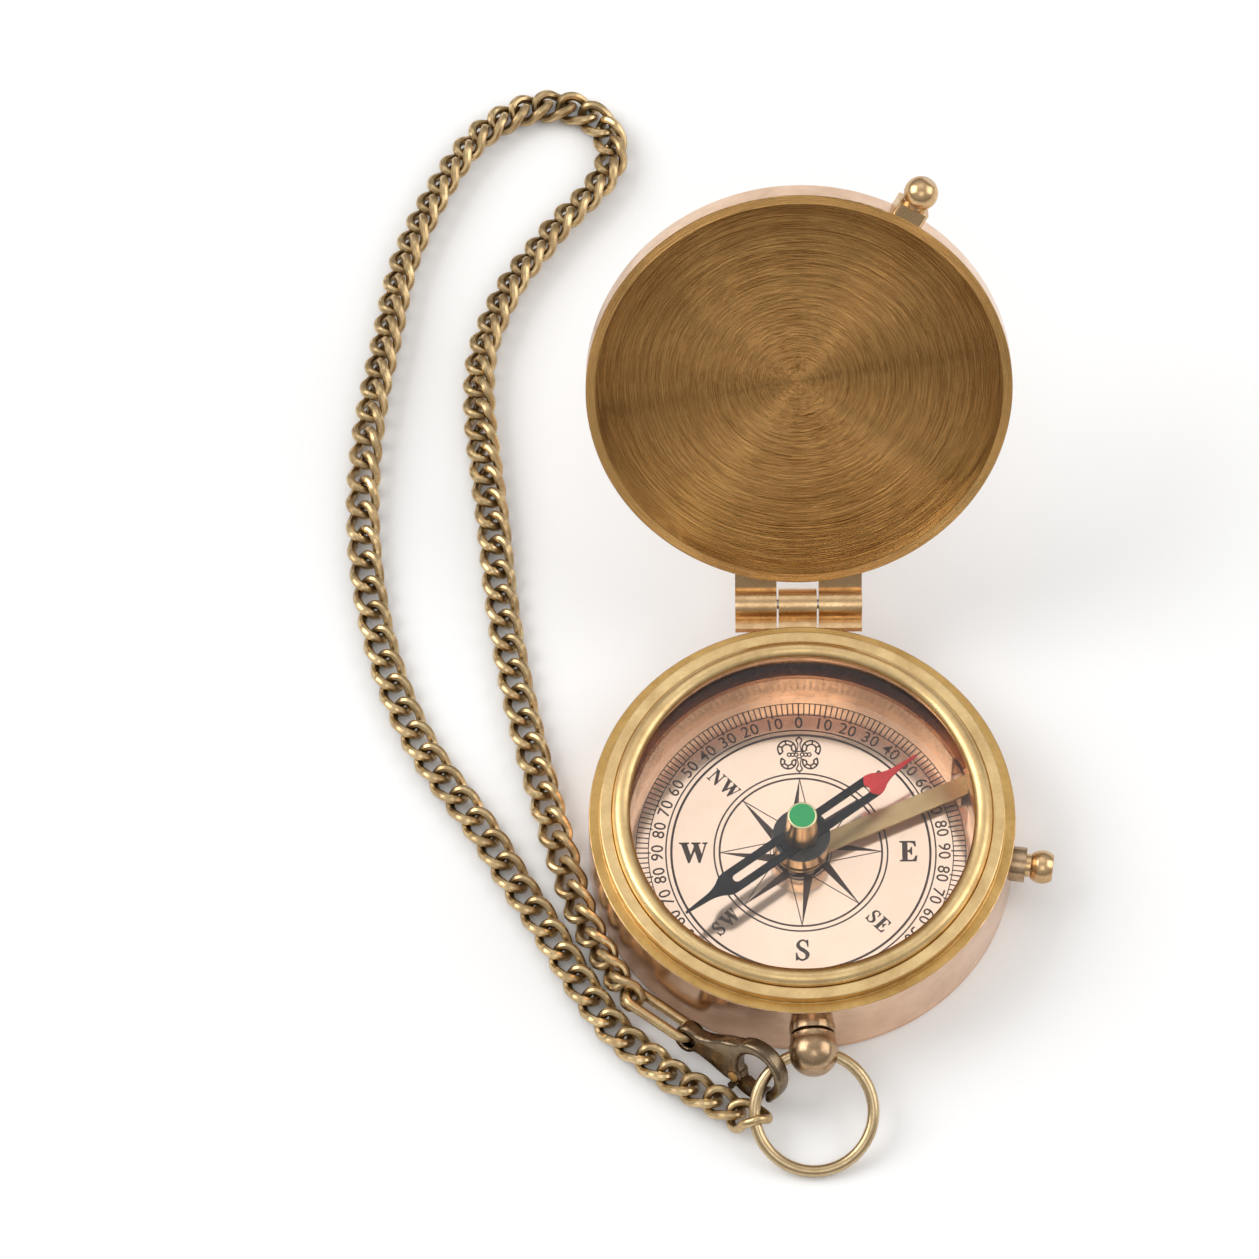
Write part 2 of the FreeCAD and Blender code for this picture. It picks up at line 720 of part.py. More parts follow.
def make_lid_shell():
    """Round lid with a flat floor and a plain wall."""
    inner = case_radius - lid_wall_thickness
    edge = case_radius - lid_edge_round
    middle = lid_edge_round * (1 - math.sqrt(0.5))
    ceiling = lid_top - lid_floor
    return opened(turned(profile([(inner, case_height), (case_radius, case_height),
                                  (case_radius, lid_top - lid_edge_round),
                                  (case_radius - middle, lid_top - middle, "arc"), (edge, lid_top),
                                  (0, lid_top), (0, ceiling), (inner, ceiling)])))


def knuckle(start, length, bore):
    """One hinge knuckle with its bore left for the pin."""
    barrel = along_x(knuckle_radius, start, length, hinge_y, hinge_z)
    return barrel.cut(along_x(bore, start - through, length + 2 * through, hinge_y, hinge_z))


def leaf(start, length, bottom, top, bore):
    """Plate from a knuckle to the drum, cut to the drum's curve."""
    plate = box(Vector(start, case_bore, bottom), Vector(start + length, hinge_y, top))
    plate = plate.cut(cylinder(case_radius, bottom - through, top + through))
    return plate.cut(along_x(bore, start - through, length + 2 * through, hinge_y, hinge_z))


def make_lid_knuckles():
    """Outer two knuckles, each with a leaf on the lid's wall and a toe that stops the lid open."""
    bore = hinge_pin_radius + hinge_pin_fit
    pieces = []
    for start, length in ((left_knuckle_x, left_knuckle_length), (right_knuckle_x, right_knuckle_length)):
        bottom = hinge_z + leaf_clearance
        plate = leaf(start, length, bottom, bottom + leaf_depth, bore)
        inner_x = min(abs(start), abs(start + length))
        reach = hinge_y - math.sqrt(case_radius ** 2 - inner_x ** 2) - piece_fit
        toe_top = hinge_z - toe_drop
        toe = box(Vector(start, hinge_y - reach, toe_top - toe_height), Vector(start + length, hinge_y, toe_top))
        toe = toe.cut(along_x(bore, start - through, length + 2 * through, hinge_y, hinge_z))
        pieces.append(opened(plate.fuse(knuckle(start, length, bore))).fuse(toe).removeSplitter())
    return Part.makeCompound(pieces)


def make_case_knuckle():
    """Middle knuckle with its leaf on the drum."""
    top = case_height - leaf_clearance
    bore = hinge_pin_radius + pivot_fit
    plate = leaf(middle_knuckle_x, middle_knuckle_length, hinge_z - knuckle_radius, top, bore)
    return plate.fuse(knuckle(middle_knuckle_x, middle_knuckle_length, bore)).removeSplitter()


def make_hinge_pin():
    """Pin through the three knuckles."""
    return along_x(hinge_pin_radius, left_knuckle_x, hinge_length, hinge_y, hinge_z)


def lid_knob_placed(shape):
    """A lid knob piece built along +Z, on the lid's wall, with the lid open."""
    return opened(radial(shape, lid_knob_azimuth, case_height + lid_height / 2))


def make_lid_knob_collar():
    """Squarish collar on the lid's wall with a thin round neck."""
    half_width = lid_collar_width / 2
    half_height = lid_collar_height / 2
    end = case_radius + lid_collar_length
    block = box(Vector(-half_height, -half_width, case_radius - through), Vector(half_height, half_width, end))
    uprights = [edge for edge in block.Edges if edge.BoundBox.ZLength > lid_collar_length]
    block = block.makeFillet(lid_collar_round, uprights)
    neck = Part.makeCylinder(lid_neck_radius, lid_neck_length, Vector(0, 0, end))
    collar = radial(block.fuse(neck), lid_knob_azimuth, case_height + lid_height / 2)
    return opened(collar.cut(cylinder(case_radius, case_height - lid_height, lid_top + lid_height)))


def make_lid_knob():
    """Ball of the lid's thumb knob."""
    foot = case_radius + lid_collar_length + lid_neck_length
    centre = foot + math.sqrt(lid_knob_radius ** 2 - lid_neck_radius ** 2)
    end = centre + lid_knob_radius - lid_knob_flat
    outline = [(0, foot)] + ball_arc(lid_knob_radius, centre, foot, end) + [(0, end)]
    return lid_knob_placed(turned(profile(outline)))


def clasp_axes():
    """Unit vectors of the clasp's plane, u and v, and its normal."""
    lean = math.radians(clasp_lean)
    u = pointing(clasp_heading, clasp_rise)
    flat_v = Vector(0, 0, 1).cross(pointing(clasp_heading, 0))
    flat_n = u.cross(flat_v)
    return u, flat_v * math.cos(lean) - flat_n * math.sin(lean), flat_n * math.cos(lean) + flat_v * math.sin(lean)


def clasp_placed(shape):
    """A clasp piece drawn in its own plane, put where the clasp hangs."""
    u, v, _ = clasp_axes()
    return moved(shape, Placement(clasp_centre, Rotation(u, v, Vector(0, 0, 0), "XYZ")))


def plate(outline, thickness):
    """A flat solid of an outline, centred on the clasp's plane."""
    solid = Part.Face(outline).extrude(Vector(0, 0, thickness))
    solid.translate(Vector(0, 0, -thickness / 2))
    return solid


def disc(radius, thickness, centre=Vector(0, 0, 0)):
    """A round plate centred on the clasp's plane."""
    return Part.makeCylinder(radius, thickness, centre - Vector(0, 0, thickness / 2))


def loop_sector(thickness, start, end):
    """Sector cutter of the clasp's loop between two angles."""
    reach = 2 * clasp_loop_radius
    spots = [Vector(0, 0, 0)]
    for share in (0, 0.5, 1):
        turn = math.radians(start + (end - start) * share)
        spots.append(Vector(reach * math.cos(turn), reach * math.sin(turn), 0))
    return plate(Part.makePolygon(spots + [spots[0]]), thickness)


def gate_pivot():
    """Rivet's centre in the clasp's plane, halfway between the hole and the loop's rim."""
    turn = math.radians(gate_pivot_angle)
    shift = clasp_hole_shift * math.cos(turn)
    side = clasp_hole_shift * math.sin(turn)
    inner = shift + math.sqrt(clasp_hole_radius ** 2 - side ** 2)
    middle = (clasp_loop_radius + inner) / 2
    return Vector(middle * math.cos(turn), middle * math.sin(turn), 0)


def clasp_hole():
    """Cutter of the clasp's hole."""
    return disc(clasp_hole_radius, clasp_thickness + through, Vector(clasp_hole_shift, 0, 0))


def clasp_neck():
    """Tapering body between the eye's plate and the loop."""
    waist = clasp_loop_radius * clasp_waist_share
    neck = Vector(-clasp_neck_reach, clasp_neck_half_width, 0)
    root = Vector(-waist, clasp_loop_radius * math.sqrt(1 - clasp_waist_share ** 2), 0)
    return plate(Part.makePolygon([neck, root, Vector(root.x, -root.y, 0), Vector(neck.x, -neck.y, 0), neck]),
                 clasp_thickness)


def gate_reach():
    """Distance from the rivet to the middle of the loop's wire at the gate's end."""
    turn = math.radians(gate_end_angle)
    middle = (clasp_loop_radius + clasp_hole_radius) / 2
    return (Vector(middle * math.cos(turn), middle * math.sin(turn), 0) - gate_pivot()).Length


def gate_gap(slack):
    """Cutter of the loop's gate opening, both its ends arcs about the rivet so that the gate swings clear."""
    tall = clasp_thickness + through
    sweep = disc(gate_reach() - slack, tall, gate_pivot())
    return loop_sector(tall, gate_pivot_angle, gate_end_angle + gate_end_margin).common(sweep).cut(
        disc(gate_joint_radius + slack, tall, gate_pivot()))


def make_clasp_body():
    """Eye, tapering body and hook in one, with a fork for the gate's lug."""
    eye = Vector(-clasp_eye_reach, 0, 0)
    body = clasp_neck().fuse(disc(clasp_loop_radius, clasp_thickness))
    body = body.fuse(disc(clasp_eye_radius, clasp_eye_thickness, eye))
    shank = box(Vector(-clasp_eye_reach, -clasp_neck_half_width, -clasp_eye_thickness / 2),
                Vector(-clasp_neck_reach + piece_fit, clasp_neck_half_width, clasp_eye_thickness / 2))
    body = body.fuse(shank).cut(disc(clasp_eye_bore, clasp_thickness + through, eye))
    body = body.cut(clasp_hole()).cut(gate_gap(0))
    slot = gate_lug_thickness + 2 * piece_fit
    body = body.cut(disc(gate_joint_radius + gate_clearance, slot, gate_pivot()))
    spring_start = gate_pivot() - Vector(gate_joint_radius, 0, 0)
    spring_room = box(Vector(-clasp_spring_length, -spring_wire, -slot / 2), Vector(0, spring_wire, slot / 2))
    body = body.cut(moved(spring_room, Placement(spring_start, Rotation())))
    body = body.cut(disc(rivet_radius + pivot_fit, clasp_thickness + through, gate_pivot()))
    return clasp_placed(body.removeSplitter())


def make_clasp_gate():
    """Curved gate from the rivet to the hook's tip, with a thumb catch."""
    loop = disc(clasp_loop_radius, gate_thickness).cut(clasp_hole())
    gate = loop.common(gate_gap(gate_clearance))
    pivot = gate_pivot()
    bridge = disc(clasp_loop_radius - piece_fit, gate_lug_thickness).cut(clasp_hole())
    bridge = bridge.common(loop_sector(clasp_thickness, gate_pivot_angle, gate_pivot_angle + 2 * thumb_turn))
    thumb = pointing(gate_pivot_angle + thumb_turn, 0)
    catch = disc(gate_lug_radius / 2, gate_lug_thickness, thumb * (clasp_loop_radius + thumb_reach))
    stalk = Part.makeCylinder(gate_lug_thickness / 2 - piece_fit, 2 * thumb_reach,
                              thumb * (clasp_loop_radius - thumb_reach), thumb)
    gate = gate.multiFuse([disc(gate_lug_radius, gate_lug_thickness, pivot), bridge, catch, stalk])
    gate = gate.cut(disc(rivet_radius + piece_fit, clasp_thickness + through, pivot))
    return clasp_placed(gate.removeSplitter())


def make_clasp_rivet():
    """Rivet with a low head on each face."""
    rivet = disc(rivet_radius, clasp_thickness + 2 * rivet_head_height, gate_pivot())
    for side in (-1, 1):
        lift = Vector(0, 0, side * (clasp_thickness + rivet_head_height) / 2)
        rivet = rivet.fuse(disc(rivet_head_radius, rivet_head_height, gate_pivot() + lift))
    return clasp_placed(rivet.removeSplitter())


def make_clasp_spring():
    """Short spring wire in the body behind the gate's lug."""
    room = clasp_spring_length - 2 * piece_fit
    start = gate_pivot() - Vector(gate_joint_radius + clasp_spring_length - piece_fit, 0, 0)
    return clasp_placed(Part.makeCylinder(spring_wire / 2, room, start, Vector(1, 0, 0)))


def make_jump_ring():
    """Long oval ring from the chain's end through the clasp's eye."""
    ring = oval_ring(jump_ring_length, jump_ring_width, jump_wire_radius)
    return framed(ring, jump_ring_centre, pointing(jump_ring_heading, jump_ring_pitch), jump_ring_roll)


def make_chain_end_link():
    """Twisted link from the chain's other end up round the bow ring."""
    link = make_link(end_link_length, end_link_width, end_link_twist)
    return framed(link, end_link_centre, pointing(end_link_heading, end_link_pitch), end_link_roll)


def biarc(start, start_way, end, end_way):
    """Two tangent arcs from a start point and direction to an end point and direction."""
    span = end - start
    both = start_way + end_way
    lean = span.dot(both)
    turn = 2 * (1 - start_way.dot(end_way))
    reach = (math.sqrt(lean ** 2 + turn * span.dot(span)) - lean) / turn
    joint = (start + end + (start_way - end_way) * reach) * 0.5
    return [tangent_arc(start, start_way, joint, reach), tangent_arc(end, -end_way, joint, reach)]


def tangent_arc(start, way, end, reach):
    """Arc that leaves start along a direction and ends at end, whose tangents meet at reach."""
    chord = end - start
    corner = start + way * reach
    middle = blended(start, end, 0.5)
    half = way.getAngle(chord) / 2
    crown = middle + (corner - middle).normalize() * (chord.Length / 2 * math.tan(half))
    return Part.Arc(start, crown, end).toShape()


def link_halves(length, width, twist):
    """Centreline of a twisted curb link along X, as two chains of four arcs from tip to tail."""
    long_half = length / 2 - wire_radius
    wide_half = width / 2 - wire_radius
    end_way = Vector(0, wide_half, twist).normalize()
    side_way = Vector(long_half, 0, twist).normalize()
    tip = Vector(long_half, 0, 0)
    halves = []
    for side in (-1, 1):
        flank = Vector(0, side * wide_half, 0)
        flank_way = Vector(-side_way.x, 0, -side * side_way.z)
        edges = biarc(tip, end_way * side, flank, flank_way)
        edges += biarc(flank, flank_way, -tip, Vector(0, -side * end_way.y, side * end_way.z))
        halves.append(edges)
    return halves


def make_link(length, width, twist):
    """One twisted curb link of round wire along X."""
    sides = []
    tip = Vector(length / 2 - wire_radius, 0, 0)
    end_way = Vector(0, width / 2 - wire_radius, twist)
    for edges in link_halves(length, width, twist):
        section = Part.Wire(Part.Circle(tip, end_way, wire_radius).toShape())
        sides.append(Part.Wire(Part.sortEdges(edges)[0]).makePipeShell([section], True, False))
    return sides[0].fuse(sides[1])


def chain_path():
    """Smooth curve through the route, on the floor."""
    poles = [Vector(x, y, 0) for x, y in chain_route]
    inner = len(poles) - 3
    curve = Part.BSplineCurve()
    curve.buildFromPolesMultsKnots(poles, [3] + [1] * inner + [3], list(range(inner + 2)), False, 2)
    return curve.toShape()


def value_at(pairs, share):
    """Value at a share of the chain's length, straight between the stated shares."""
    for (start, first), (end, last) in zip(pairs, pairs[1:]):
        if share <= end:
            return first + (last - first) * (share - start) / (end - start)
    return pairs[-1][1]


def link_level(points, roll):
    """Height of a rolled link's centre when its wire just clears the floor."""
    side, up = math.sin(math.radians(roll)), math.cos(math.radians(roll))
    return max(abs(point.y * side + point.z * up) for point in points) + wire_radius + chain_floor_gap


def link_shares(length):
    """Shares of a path's length where the links' centres lie, at the stated pitches."""
    shares = [(link_length / 2 + (length - link_length) * step / path_pieces) / length
              for step in range(path_pieces + 1)]
    laid = [0]
    for first, second in zip(shares, shares[1:]):
        laid.append(laid[-1] + (second - first) * length / value_at(chain_pitch_shares, (first + second) / 2))
    count = round(laid[-1])
    return [value_at(list(zip(laid, shares)), laid[-1] * number / count) for number in range(count + 1)]


def make_chain_links():
    """Curb links along the route, rolled and lifted as they lie."""
    path = chain_path()
    link = make_link(link_length, link_width, link_twist)
    points = [point for half in link_halves(link_length, link_width, link_twist)
              for edge in half for point in edge.discretize(Number=link_steps)]
    steps = path.discretize(Number=path_pieces + 1)
    chain = []
    for share in link_shares(path.Length):
        place = share * path_pieces
        index = min(int(place), path_pieces - 1)
        roll = value_at(chain_roll_shares, share)
        level = link_level(points, roll) + value_at(chain_lift_shares, share)
        spot = blended(steps[index], steps[index + 1], place - index) + Vector(0, 0, level)
        chain.append(framed(link, spot, steps[index] - steps[index + 1], roll))
    print("chain", round(path.Length, 1), "mm,", len(chain), "links")
    return Part.makeCompound(chain)


MAKERS = {
    "case_wall": make_case_wall, "case_bottom": make_case_bottom, "bezel_ring": make_bezel_ring,
    "crystal": make_crystal, "crystal_gasket": make_crystal_gasket, "crystal_seat": make_crystal_seat,
    "dial_plate": make_dial_plate, "dial_ring": make_dial_ring, "pivot_boss": make_pivot_boss,
    "pivot_pin": make_pivot_pin, "pivot_jewel": make_pivot_jewel, "needle_blade": make_needle_blade,
    "needle_disc": make_needle_disc, "needle_hub": make_needle_hub, "needle_cap": make_needle_cap,
    "cap_inlay": make_cap_inlay, "lifter_lever": make_lifter_lever, "lever_bracket": make_lever_bracket,
    "lever_pin": make_lever_pin, "lever_spring": make_lever_spring, "lock_bush": make_lock_bush,
    "lock_button": make_lock_button, "bow_post": make_bow_post, "bow_ring": make_bow_ring,
    "lid_shell": make_lid_shell, "lid_knuckles": make_lid_knuckles, "case_knuckle": make_case_knuckle,
    "hinge_pin": make_hinge_pin, "lid_knob_collar": make_lid_knob_collar, "lid_knob": make_lid_knob,
    "clasp_body": make_clasp_body, "clasp_gate": make_clasp_gate, "clasp_rivet": make_clasp_rivet,
    "clasp_spring": make_clasp_spring, "jump_ring": make_jump_ring, "chain_end_link": make_chain_end_link,
    "chain_links": make_chain_links,
}


def main():
    """Writes one STEP file per piece."""
    os.makedirs("parts", exist_ok=True)
    for name, maker in MAKERS.items():
        shape = maker()
        print(name, "solids", len(shape.Solids), "valid", shape.isValid(), "volume", round(shape.Volume, 2))
        shape.exportStep("parts/" + name + ".step")


main()
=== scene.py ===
"""Looks of the lidded pocket compass: its finishes, printed dial, needle, clasp, chain and the studio.

Sizes are millimetres and angles degrees, unless a name or a docstring says otherwise.
"""
import logging
import math
from dataclasses import dataclass
from enum import Enum
from typing import Callable, Optional, Sequence

import bmesh
import bpy
from mathutils import Matrix, Vector


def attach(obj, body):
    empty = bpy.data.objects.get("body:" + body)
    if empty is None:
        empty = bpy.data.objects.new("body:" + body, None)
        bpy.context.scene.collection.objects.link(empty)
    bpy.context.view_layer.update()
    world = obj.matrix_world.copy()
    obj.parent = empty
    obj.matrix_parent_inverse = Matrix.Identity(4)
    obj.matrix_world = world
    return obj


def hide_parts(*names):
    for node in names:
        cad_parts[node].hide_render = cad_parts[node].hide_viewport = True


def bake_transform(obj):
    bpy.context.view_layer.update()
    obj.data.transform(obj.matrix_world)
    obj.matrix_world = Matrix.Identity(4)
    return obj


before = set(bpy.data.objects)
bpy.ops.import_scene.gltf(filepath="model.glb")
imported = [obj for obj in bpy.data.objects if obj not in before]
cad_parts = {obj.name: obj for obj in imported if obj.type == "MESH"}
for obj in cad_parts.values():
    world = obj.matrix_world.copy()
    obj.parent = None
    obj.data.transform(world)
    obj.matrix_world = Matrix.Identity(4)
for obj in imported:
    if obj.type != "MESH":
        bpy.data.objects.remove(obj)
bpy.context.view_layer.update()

LOG = logging.getLogger("compass")
MM = 0.001
MERGE_M = 1e-7
SLIVER_M = 1e-8
SMOOTH = "smooth"
Point2 = tuple[float, float]
Point3 = tuple[float, float, float]
Outline = Sequence[tuple]


class Brush(Enum):
    """Ways that a metal surface was finished."""
    TURNED = "turned"
    CAST = "cast"


# Shader helpers


def node_group(name: str, output: str, **numbers: float) -> tuple:
    """Makes a shader group with a Vector input, number inputs and one number output.

    Args:
        name: the group's name.
        output: the output's name.
        numbers: name and default of each number input.

    Returns:
        The group, its inputs as sockets, and the output's socket.
    """
    tree = bpy.data.node_groups.new(name, "ShaderNodeTree")
    tree.interface.new_socket(name="Vector", in_out="INPUT", socket_type="NodeSocketVector")
    for label, value in numbers.items():
        socket = tree.interface.new_socket(name=label, in_out="INPUT", socket_type="NodeSocketFloat")
        socket.default_value = value
    tree.interface.new_socket(name=output, in_out="OUTPUT", socket_type="NodeSocketFloat")
    given = tree.nodes.new("NodeGroupInput").outputs
    return tree, given, tree.nodes.new("NodeGroupOutput").inputs[output]


def add(tree: bpy.types.NodeTree, kind: str, settings: Optional[dict] = None, **inputs: object) -> bpy.types.Node:
    """Adds a node, sets its properties and its unlinked inputs, and links sockets that are given.

    Args:
        tree: the tree that gets the node.
        kind: the node's type without its ShaderNode prefix.
        settings: properties of the node.
        inputs: input name, or i and its index, to a value or an output socket.

    Returns:
        The new node.
    """
    node = tree.nodes.new("ShaderNode" + kind)
    for key, value in (settings or {}).items():
        setattr(node, key, value)
    for key, value in inputs.items():
        numbered = key[0] == "i" and key[1:].isdigit()
        socket = node.inputs[int(key[1:]) if numbered else key.replace("_", " ")]
        if isinstance(value, bpy.types.NodeSocket):
            tree.links.new(value, socket)
        else:
            socket.default_value = value
    return node


def math_node(tree: bpy.types.NodeTree, operation: str, *values: object) -> bpy.types.NodeSocket:
    """Adds a math node and returns its output.

    Args:
        tree: the tree that gets the node.
        operation: the node's operation.
        values: numbers or sockets, in order.

    Returns:
        The output socket.
    """
    inputs = {"i%d" % index: value for index, value in enumerate(values)}
    return add(tree, "Math", {"operation": operation}, **inputs).outputs[0]


def mixed(tree: bpy.types.NodeTree, factor: object, first: object, second: object) -> bpy.types.NodeSocket:
    """Mixes two colours by a factor.

    Args:
        tree: the tree that gets the node.
        factor: share of the second colour.
        first: a colour or a socket.
        second: a colour or a socket.

    Returns:
        The mixed colour.
    """
    first, second = ((*c, 1.0) if isinstance(c, tuple) else c for c in (first, second))
    return add(tree, "Mix", {"data_type": "RGBA"}, i0=factor, i6=first, i7=second).outputs[2]


class Groups:
    """The shader groups that several finishes share."""
    cloud_low = 0.48
    cloud_high = 0.92
    fine_scale = 6.0
    fine_share = 0.35
    swirl = 0.35
    cell_scale = 0.4
    cell_share = 0.4

    def __init__(self) -> None:
        """Builds every group once."""
        self.tarnish = self._tarnish()
        self.turned = self._turned()
        self.pits = self._pits()

    def _tarnish(self) -> bpy.types.NodeTree:
        """Cloudy tarnish: a mask of stains at a given size.

        Returns:
            The group.
        """
        tree, given, out = node_group("tarnish", "Mask", Size=300.0, Amount=0.5)
        finer = math_node(tree, "MULTIPLY", given["Size"], self.fine_scale)
        large = add(tree, "TexNoise", Vector=given["Vector"], Scale=given["Size"], Detail=5.0, Roughness=0.6)
        fine = add(tree, "TexNoise", Vector=given["Vector"], Scale=finer, Detail=3.0, Roughness=0.7)
        both = math_node(tree, "MULTIPLY_ADD", fine.outputs[0], self.fine_share, large.outputs[0])
        spread = add(tree, "MapRange", Value=both, From_Min=self.cloud_low, From_Max=self.cloud_high)
        tree.links.new(math_node(tree, "MULTIPLY", spread.outputs[0], given["Amount"]), out)
        return tree

    def _turned(self) -> bpy.types.NodeTree:
        """Fine rings round Z, as a lathe tool leaves them, given as a height.

        Returns:
            The group.
        """
        tree, given, out = node_group("turned_rings", "Height", Pitch=9000.0)
        x, y, z = add(tree, "SeparateXYZ", Vector=given["Vector"]).outputs
        squares = [math_node(tree, "MULTIPLY", part, part) for part in (x, y)]
        radius = math_node(tree, "SQRT", math_node(tree, "ADD", *squares))
        rings, turn, level = (math_node(tree, "MULTIPLY", value, scale) for value, scale in (
            (radius, given["Pitch"]), (math_node(tree, "ARCTAN2", y, x), self.swirl), (z, given["Pitch"])))
        place = add(tree, "CombineXYZ", X=rings, Y=turn, Z=level)
        lines = add(tree, "TexNoise", Vector=place.outputs[0], Scale=1.0, Detail=3.0, Roughness=0.7)
        tree.links.new(lines.outputs[0], out)
        return tree

    def _pits(self) -> bpy.types.NodeTree:
        """Small dents and handling marks, given as a height.

        Returns:
            The group.
        """
        tree, given, out = node_group("handling_marks", "Height", Size=2500.0)
        grain = add(tree, "TexNoise", Vector=given["Vector"], Scale=given["Size"], Detail=4.0, Roughness=0.6)
        coarser = math_node(tree, "MULTIPLY", given["Size"], self.cell_scale)
        cells = add(tree, "TexVoronoi", Vector=given["Vector"], Scale=coarser)
        total = math_node(tree, "MULTIPLY_ADD", cells.outputs["Distance"], self.cell_share, grain.outputs[0])
        tree.links.new(total, out)
        return tree


class Surface:
    """A material in the making: its Principled shader and what the finishes do to it."""

    def __init__(self, name: str, groups: Optional[Groups] = None) -> None:
        """Makes the material.

        Args:
            name: the material's name.
            groups: the shared shader groups, needed for stains.
        """
        self.material = bpy.data.materials.new(name)
        self.material.use_nodes = True
        self.tree = self.material.node_tree
        self.shader = self.tree.nodes["Principled BSDF"]
        self.groups = groups
        self.place = add(self.tree, "TexCoord").outputs["Object"]

    def set(self, **values: object) -> None:
        """Sets plain values on the shader's own sockets, their names with _ for a space."""
        for name, value in values.items():
            self.shader.inputs[name.replace("_", " ")].default_value = value

    def feed(self, name: str, source: bpy.types.NodeSocket) -> None:
        """Links a source to one of the shader's sockets."""
        self.tree.links.new(source, self.shader.inputs[name])

    def stain(self, size: float, amount: float) -> bpy.types.NodeSocket:
        """Mask of tarnish of a size and amount."""
        group = {"node_tree": self.groups.tarnish}
        return add(self.tree, "Group", group, Vector=self.place, Size=size, Amount=amount).outputs[0]

    def feed_range(self, name: str, factor: bpy.types.NodeSocket, low: float, high: float) -> None:
        """Feeds a socket with values from low to high along a factor."""
        self.feed(name, add(self.tree, "MapRange", Value=factor, To_Min=low, To_Max=high).outputs[0])

    def mark(self, group: bpy.types.NodeTree, scale: float, depth: float, reach: float) -> None:
        """Bumps the surface.

        Args:
            group: the group that gives the height.
            scale: its pitch or size.
            depth: how strong the bump is.
            reach: height of the bump in metres.
        """
        height = add(self.tree, "Group", {"node_tree": group}, i0=self.place, i1=scale).outputs[0]
        bump = add(self.tree, "Bump", Strength=depth, Distance=reach, Height=height)
        self.feed("Normal", bump.outputs[0])


@dataclass(frozen=True)
class Metal:
    """A metal finish: two tones that tarnish mixes, the marks of how it was finished, and painted shade in its
    crevices where that is set.
    """
    name: str
    bright: Point3
    dull: Point3
    rough: float = 0.25
    rough_dull: float = 0.4
    stain_size: float = 260.0
    stain: float = 0.8
    brush: Brush = Brush.CAST
    pitch: float = 7000.0
    depth: float = 0.05
    # strength of the painted shade in crevices, taken from ambient occlusion; 0 for none
    painted_crevice_shade: float = 0.0
    on_lid: bool = False
    metallic: float = 1.0
    reach_m: float = 0.0002
    # reach in metres and darkest tone, as a share of dull, of the painted crevice shade
    painted_shade_reach_m: float = 0.0016
    painted_shade_tone: float = 0.28

    def build(self, groups: Groups) -> bpy.types.Material:
        """Builds the material.

        Args:
            groups: the shared shader groups.

        Returns:
            The material.
        """
        surface = Surface(self.name, groups)
        tree = surface.tree
        if self.on_lid:
            swung = lid_open()
            surface.place = add(tree, "Mapping", {"vector_type": "TEXTURE"}, Vector=surface.place,
                                Location=swung.to_translation(), Rotation=swung.to_euler()).outputs[0]
        stain = surface.stain(self.stain_size, self.stain)
        colour = mixed(tree, stain, self.bright, self.dull)
        # Painted shade: ambient occlusion darkens the colour in crevices and where parts meet
        if self.painted_crevice_shade > 0:
            shade = add(tree, "AmbientOcclusion", {"samples": 8}, Distance=self.painted_shade_reach_m).outputs["AO"]
            amount = math_node(tree, "MULTIPLY", math_node(tree, "SUBTRACT", 1.0, shade), self.painted_crevice_shade)
            colour = mixed(tree, amount, colour, tuple(self.painted_shade_tone * value for value in self.dull))
        surface.feed("Base Color", colour)
        surface.feed_range("Roughness", stain, self.rough, self.rough_dull)
        surface.set(Metallic=self.metallic)
        group = groups.turned if self.brush is Brush.TURNED else groups.pits
        surface.mark(group, self.pitch, self.depth, self.reach_m)
        return surface.material


@dataclass(frozen=True)
class Paint:
    """An opaque coating, such as print, lacquer, enamel or rubber."""
    name: str
    colour: Point3
    shade: Point3
    rough: float = 0.4
    coat: float = 0.0
    metallic: float = 0.0
    grain: float = 900.0
    depth: float = 0.03
    stain: float = 0.8
    worn: float = 1.35
    coat_rough: float = 0.08
    pit_scale: float = 4.0
    reach_m: float = 0.0001

    def build(self, groups: Groups) -> bpy.types.Material:
        """Builds the material.

        Args:
            groups: the shared shader groups.

        Returns:
            The material.
        """
        surface = Surface(self.name, groups)
        stain = surface.stain(self.grain, self.stain)
        surface.feed("Base Color", mixed(surface.tree, stain, self.colour, self.shade))
        surface.feed_range("Roughness", stain, self.rough, min(1.0, self.rough * self.worn))
        surface.set(Metallic=self.metallic, Coat_Weight=self.coat, Coat_Roughness=self.coat_rough)
        surface.mark(groups.pits, self.grain * self.pit_scale, self.depth, self.reach_m)
        return surface.material


@dataclass(frozen=True)
class Glass:
    """Clear flat glass that lets the lamps through."""
    name: str = "flat_glass"
    index: float = 1.3
    dust_size: float = 500.0
    dust: float = 0.02

    def build(self, groups: Groups) -> bpy.types.Material:
        """Builds the material.

        Args:
            groups: the shared shader groups.

        Returns:
            The material.
        """
        surface = Surface(self.name, groups)
        tree = surface.tree
        surface.set(Base_Color=(1.0, 1.0, 1.0, 1.0), Transmission_Weight=1.0, IOR=self.index)
        surface.feed("Roughness", surface.stain(self.dust_size, self.dust))
        blend = add(tree, "MixShader", Fac=add(tree, "LightPath").outputs["Is Shadow Ray"],
                    i1=surface.shader.outputs[0], i2=add(tree, "BsdfTransparent").outputs[0])
        tree.links.new(blend.outputs[0], tree.nodes["Material Output"].inputs["Surface"])
        return surface.material


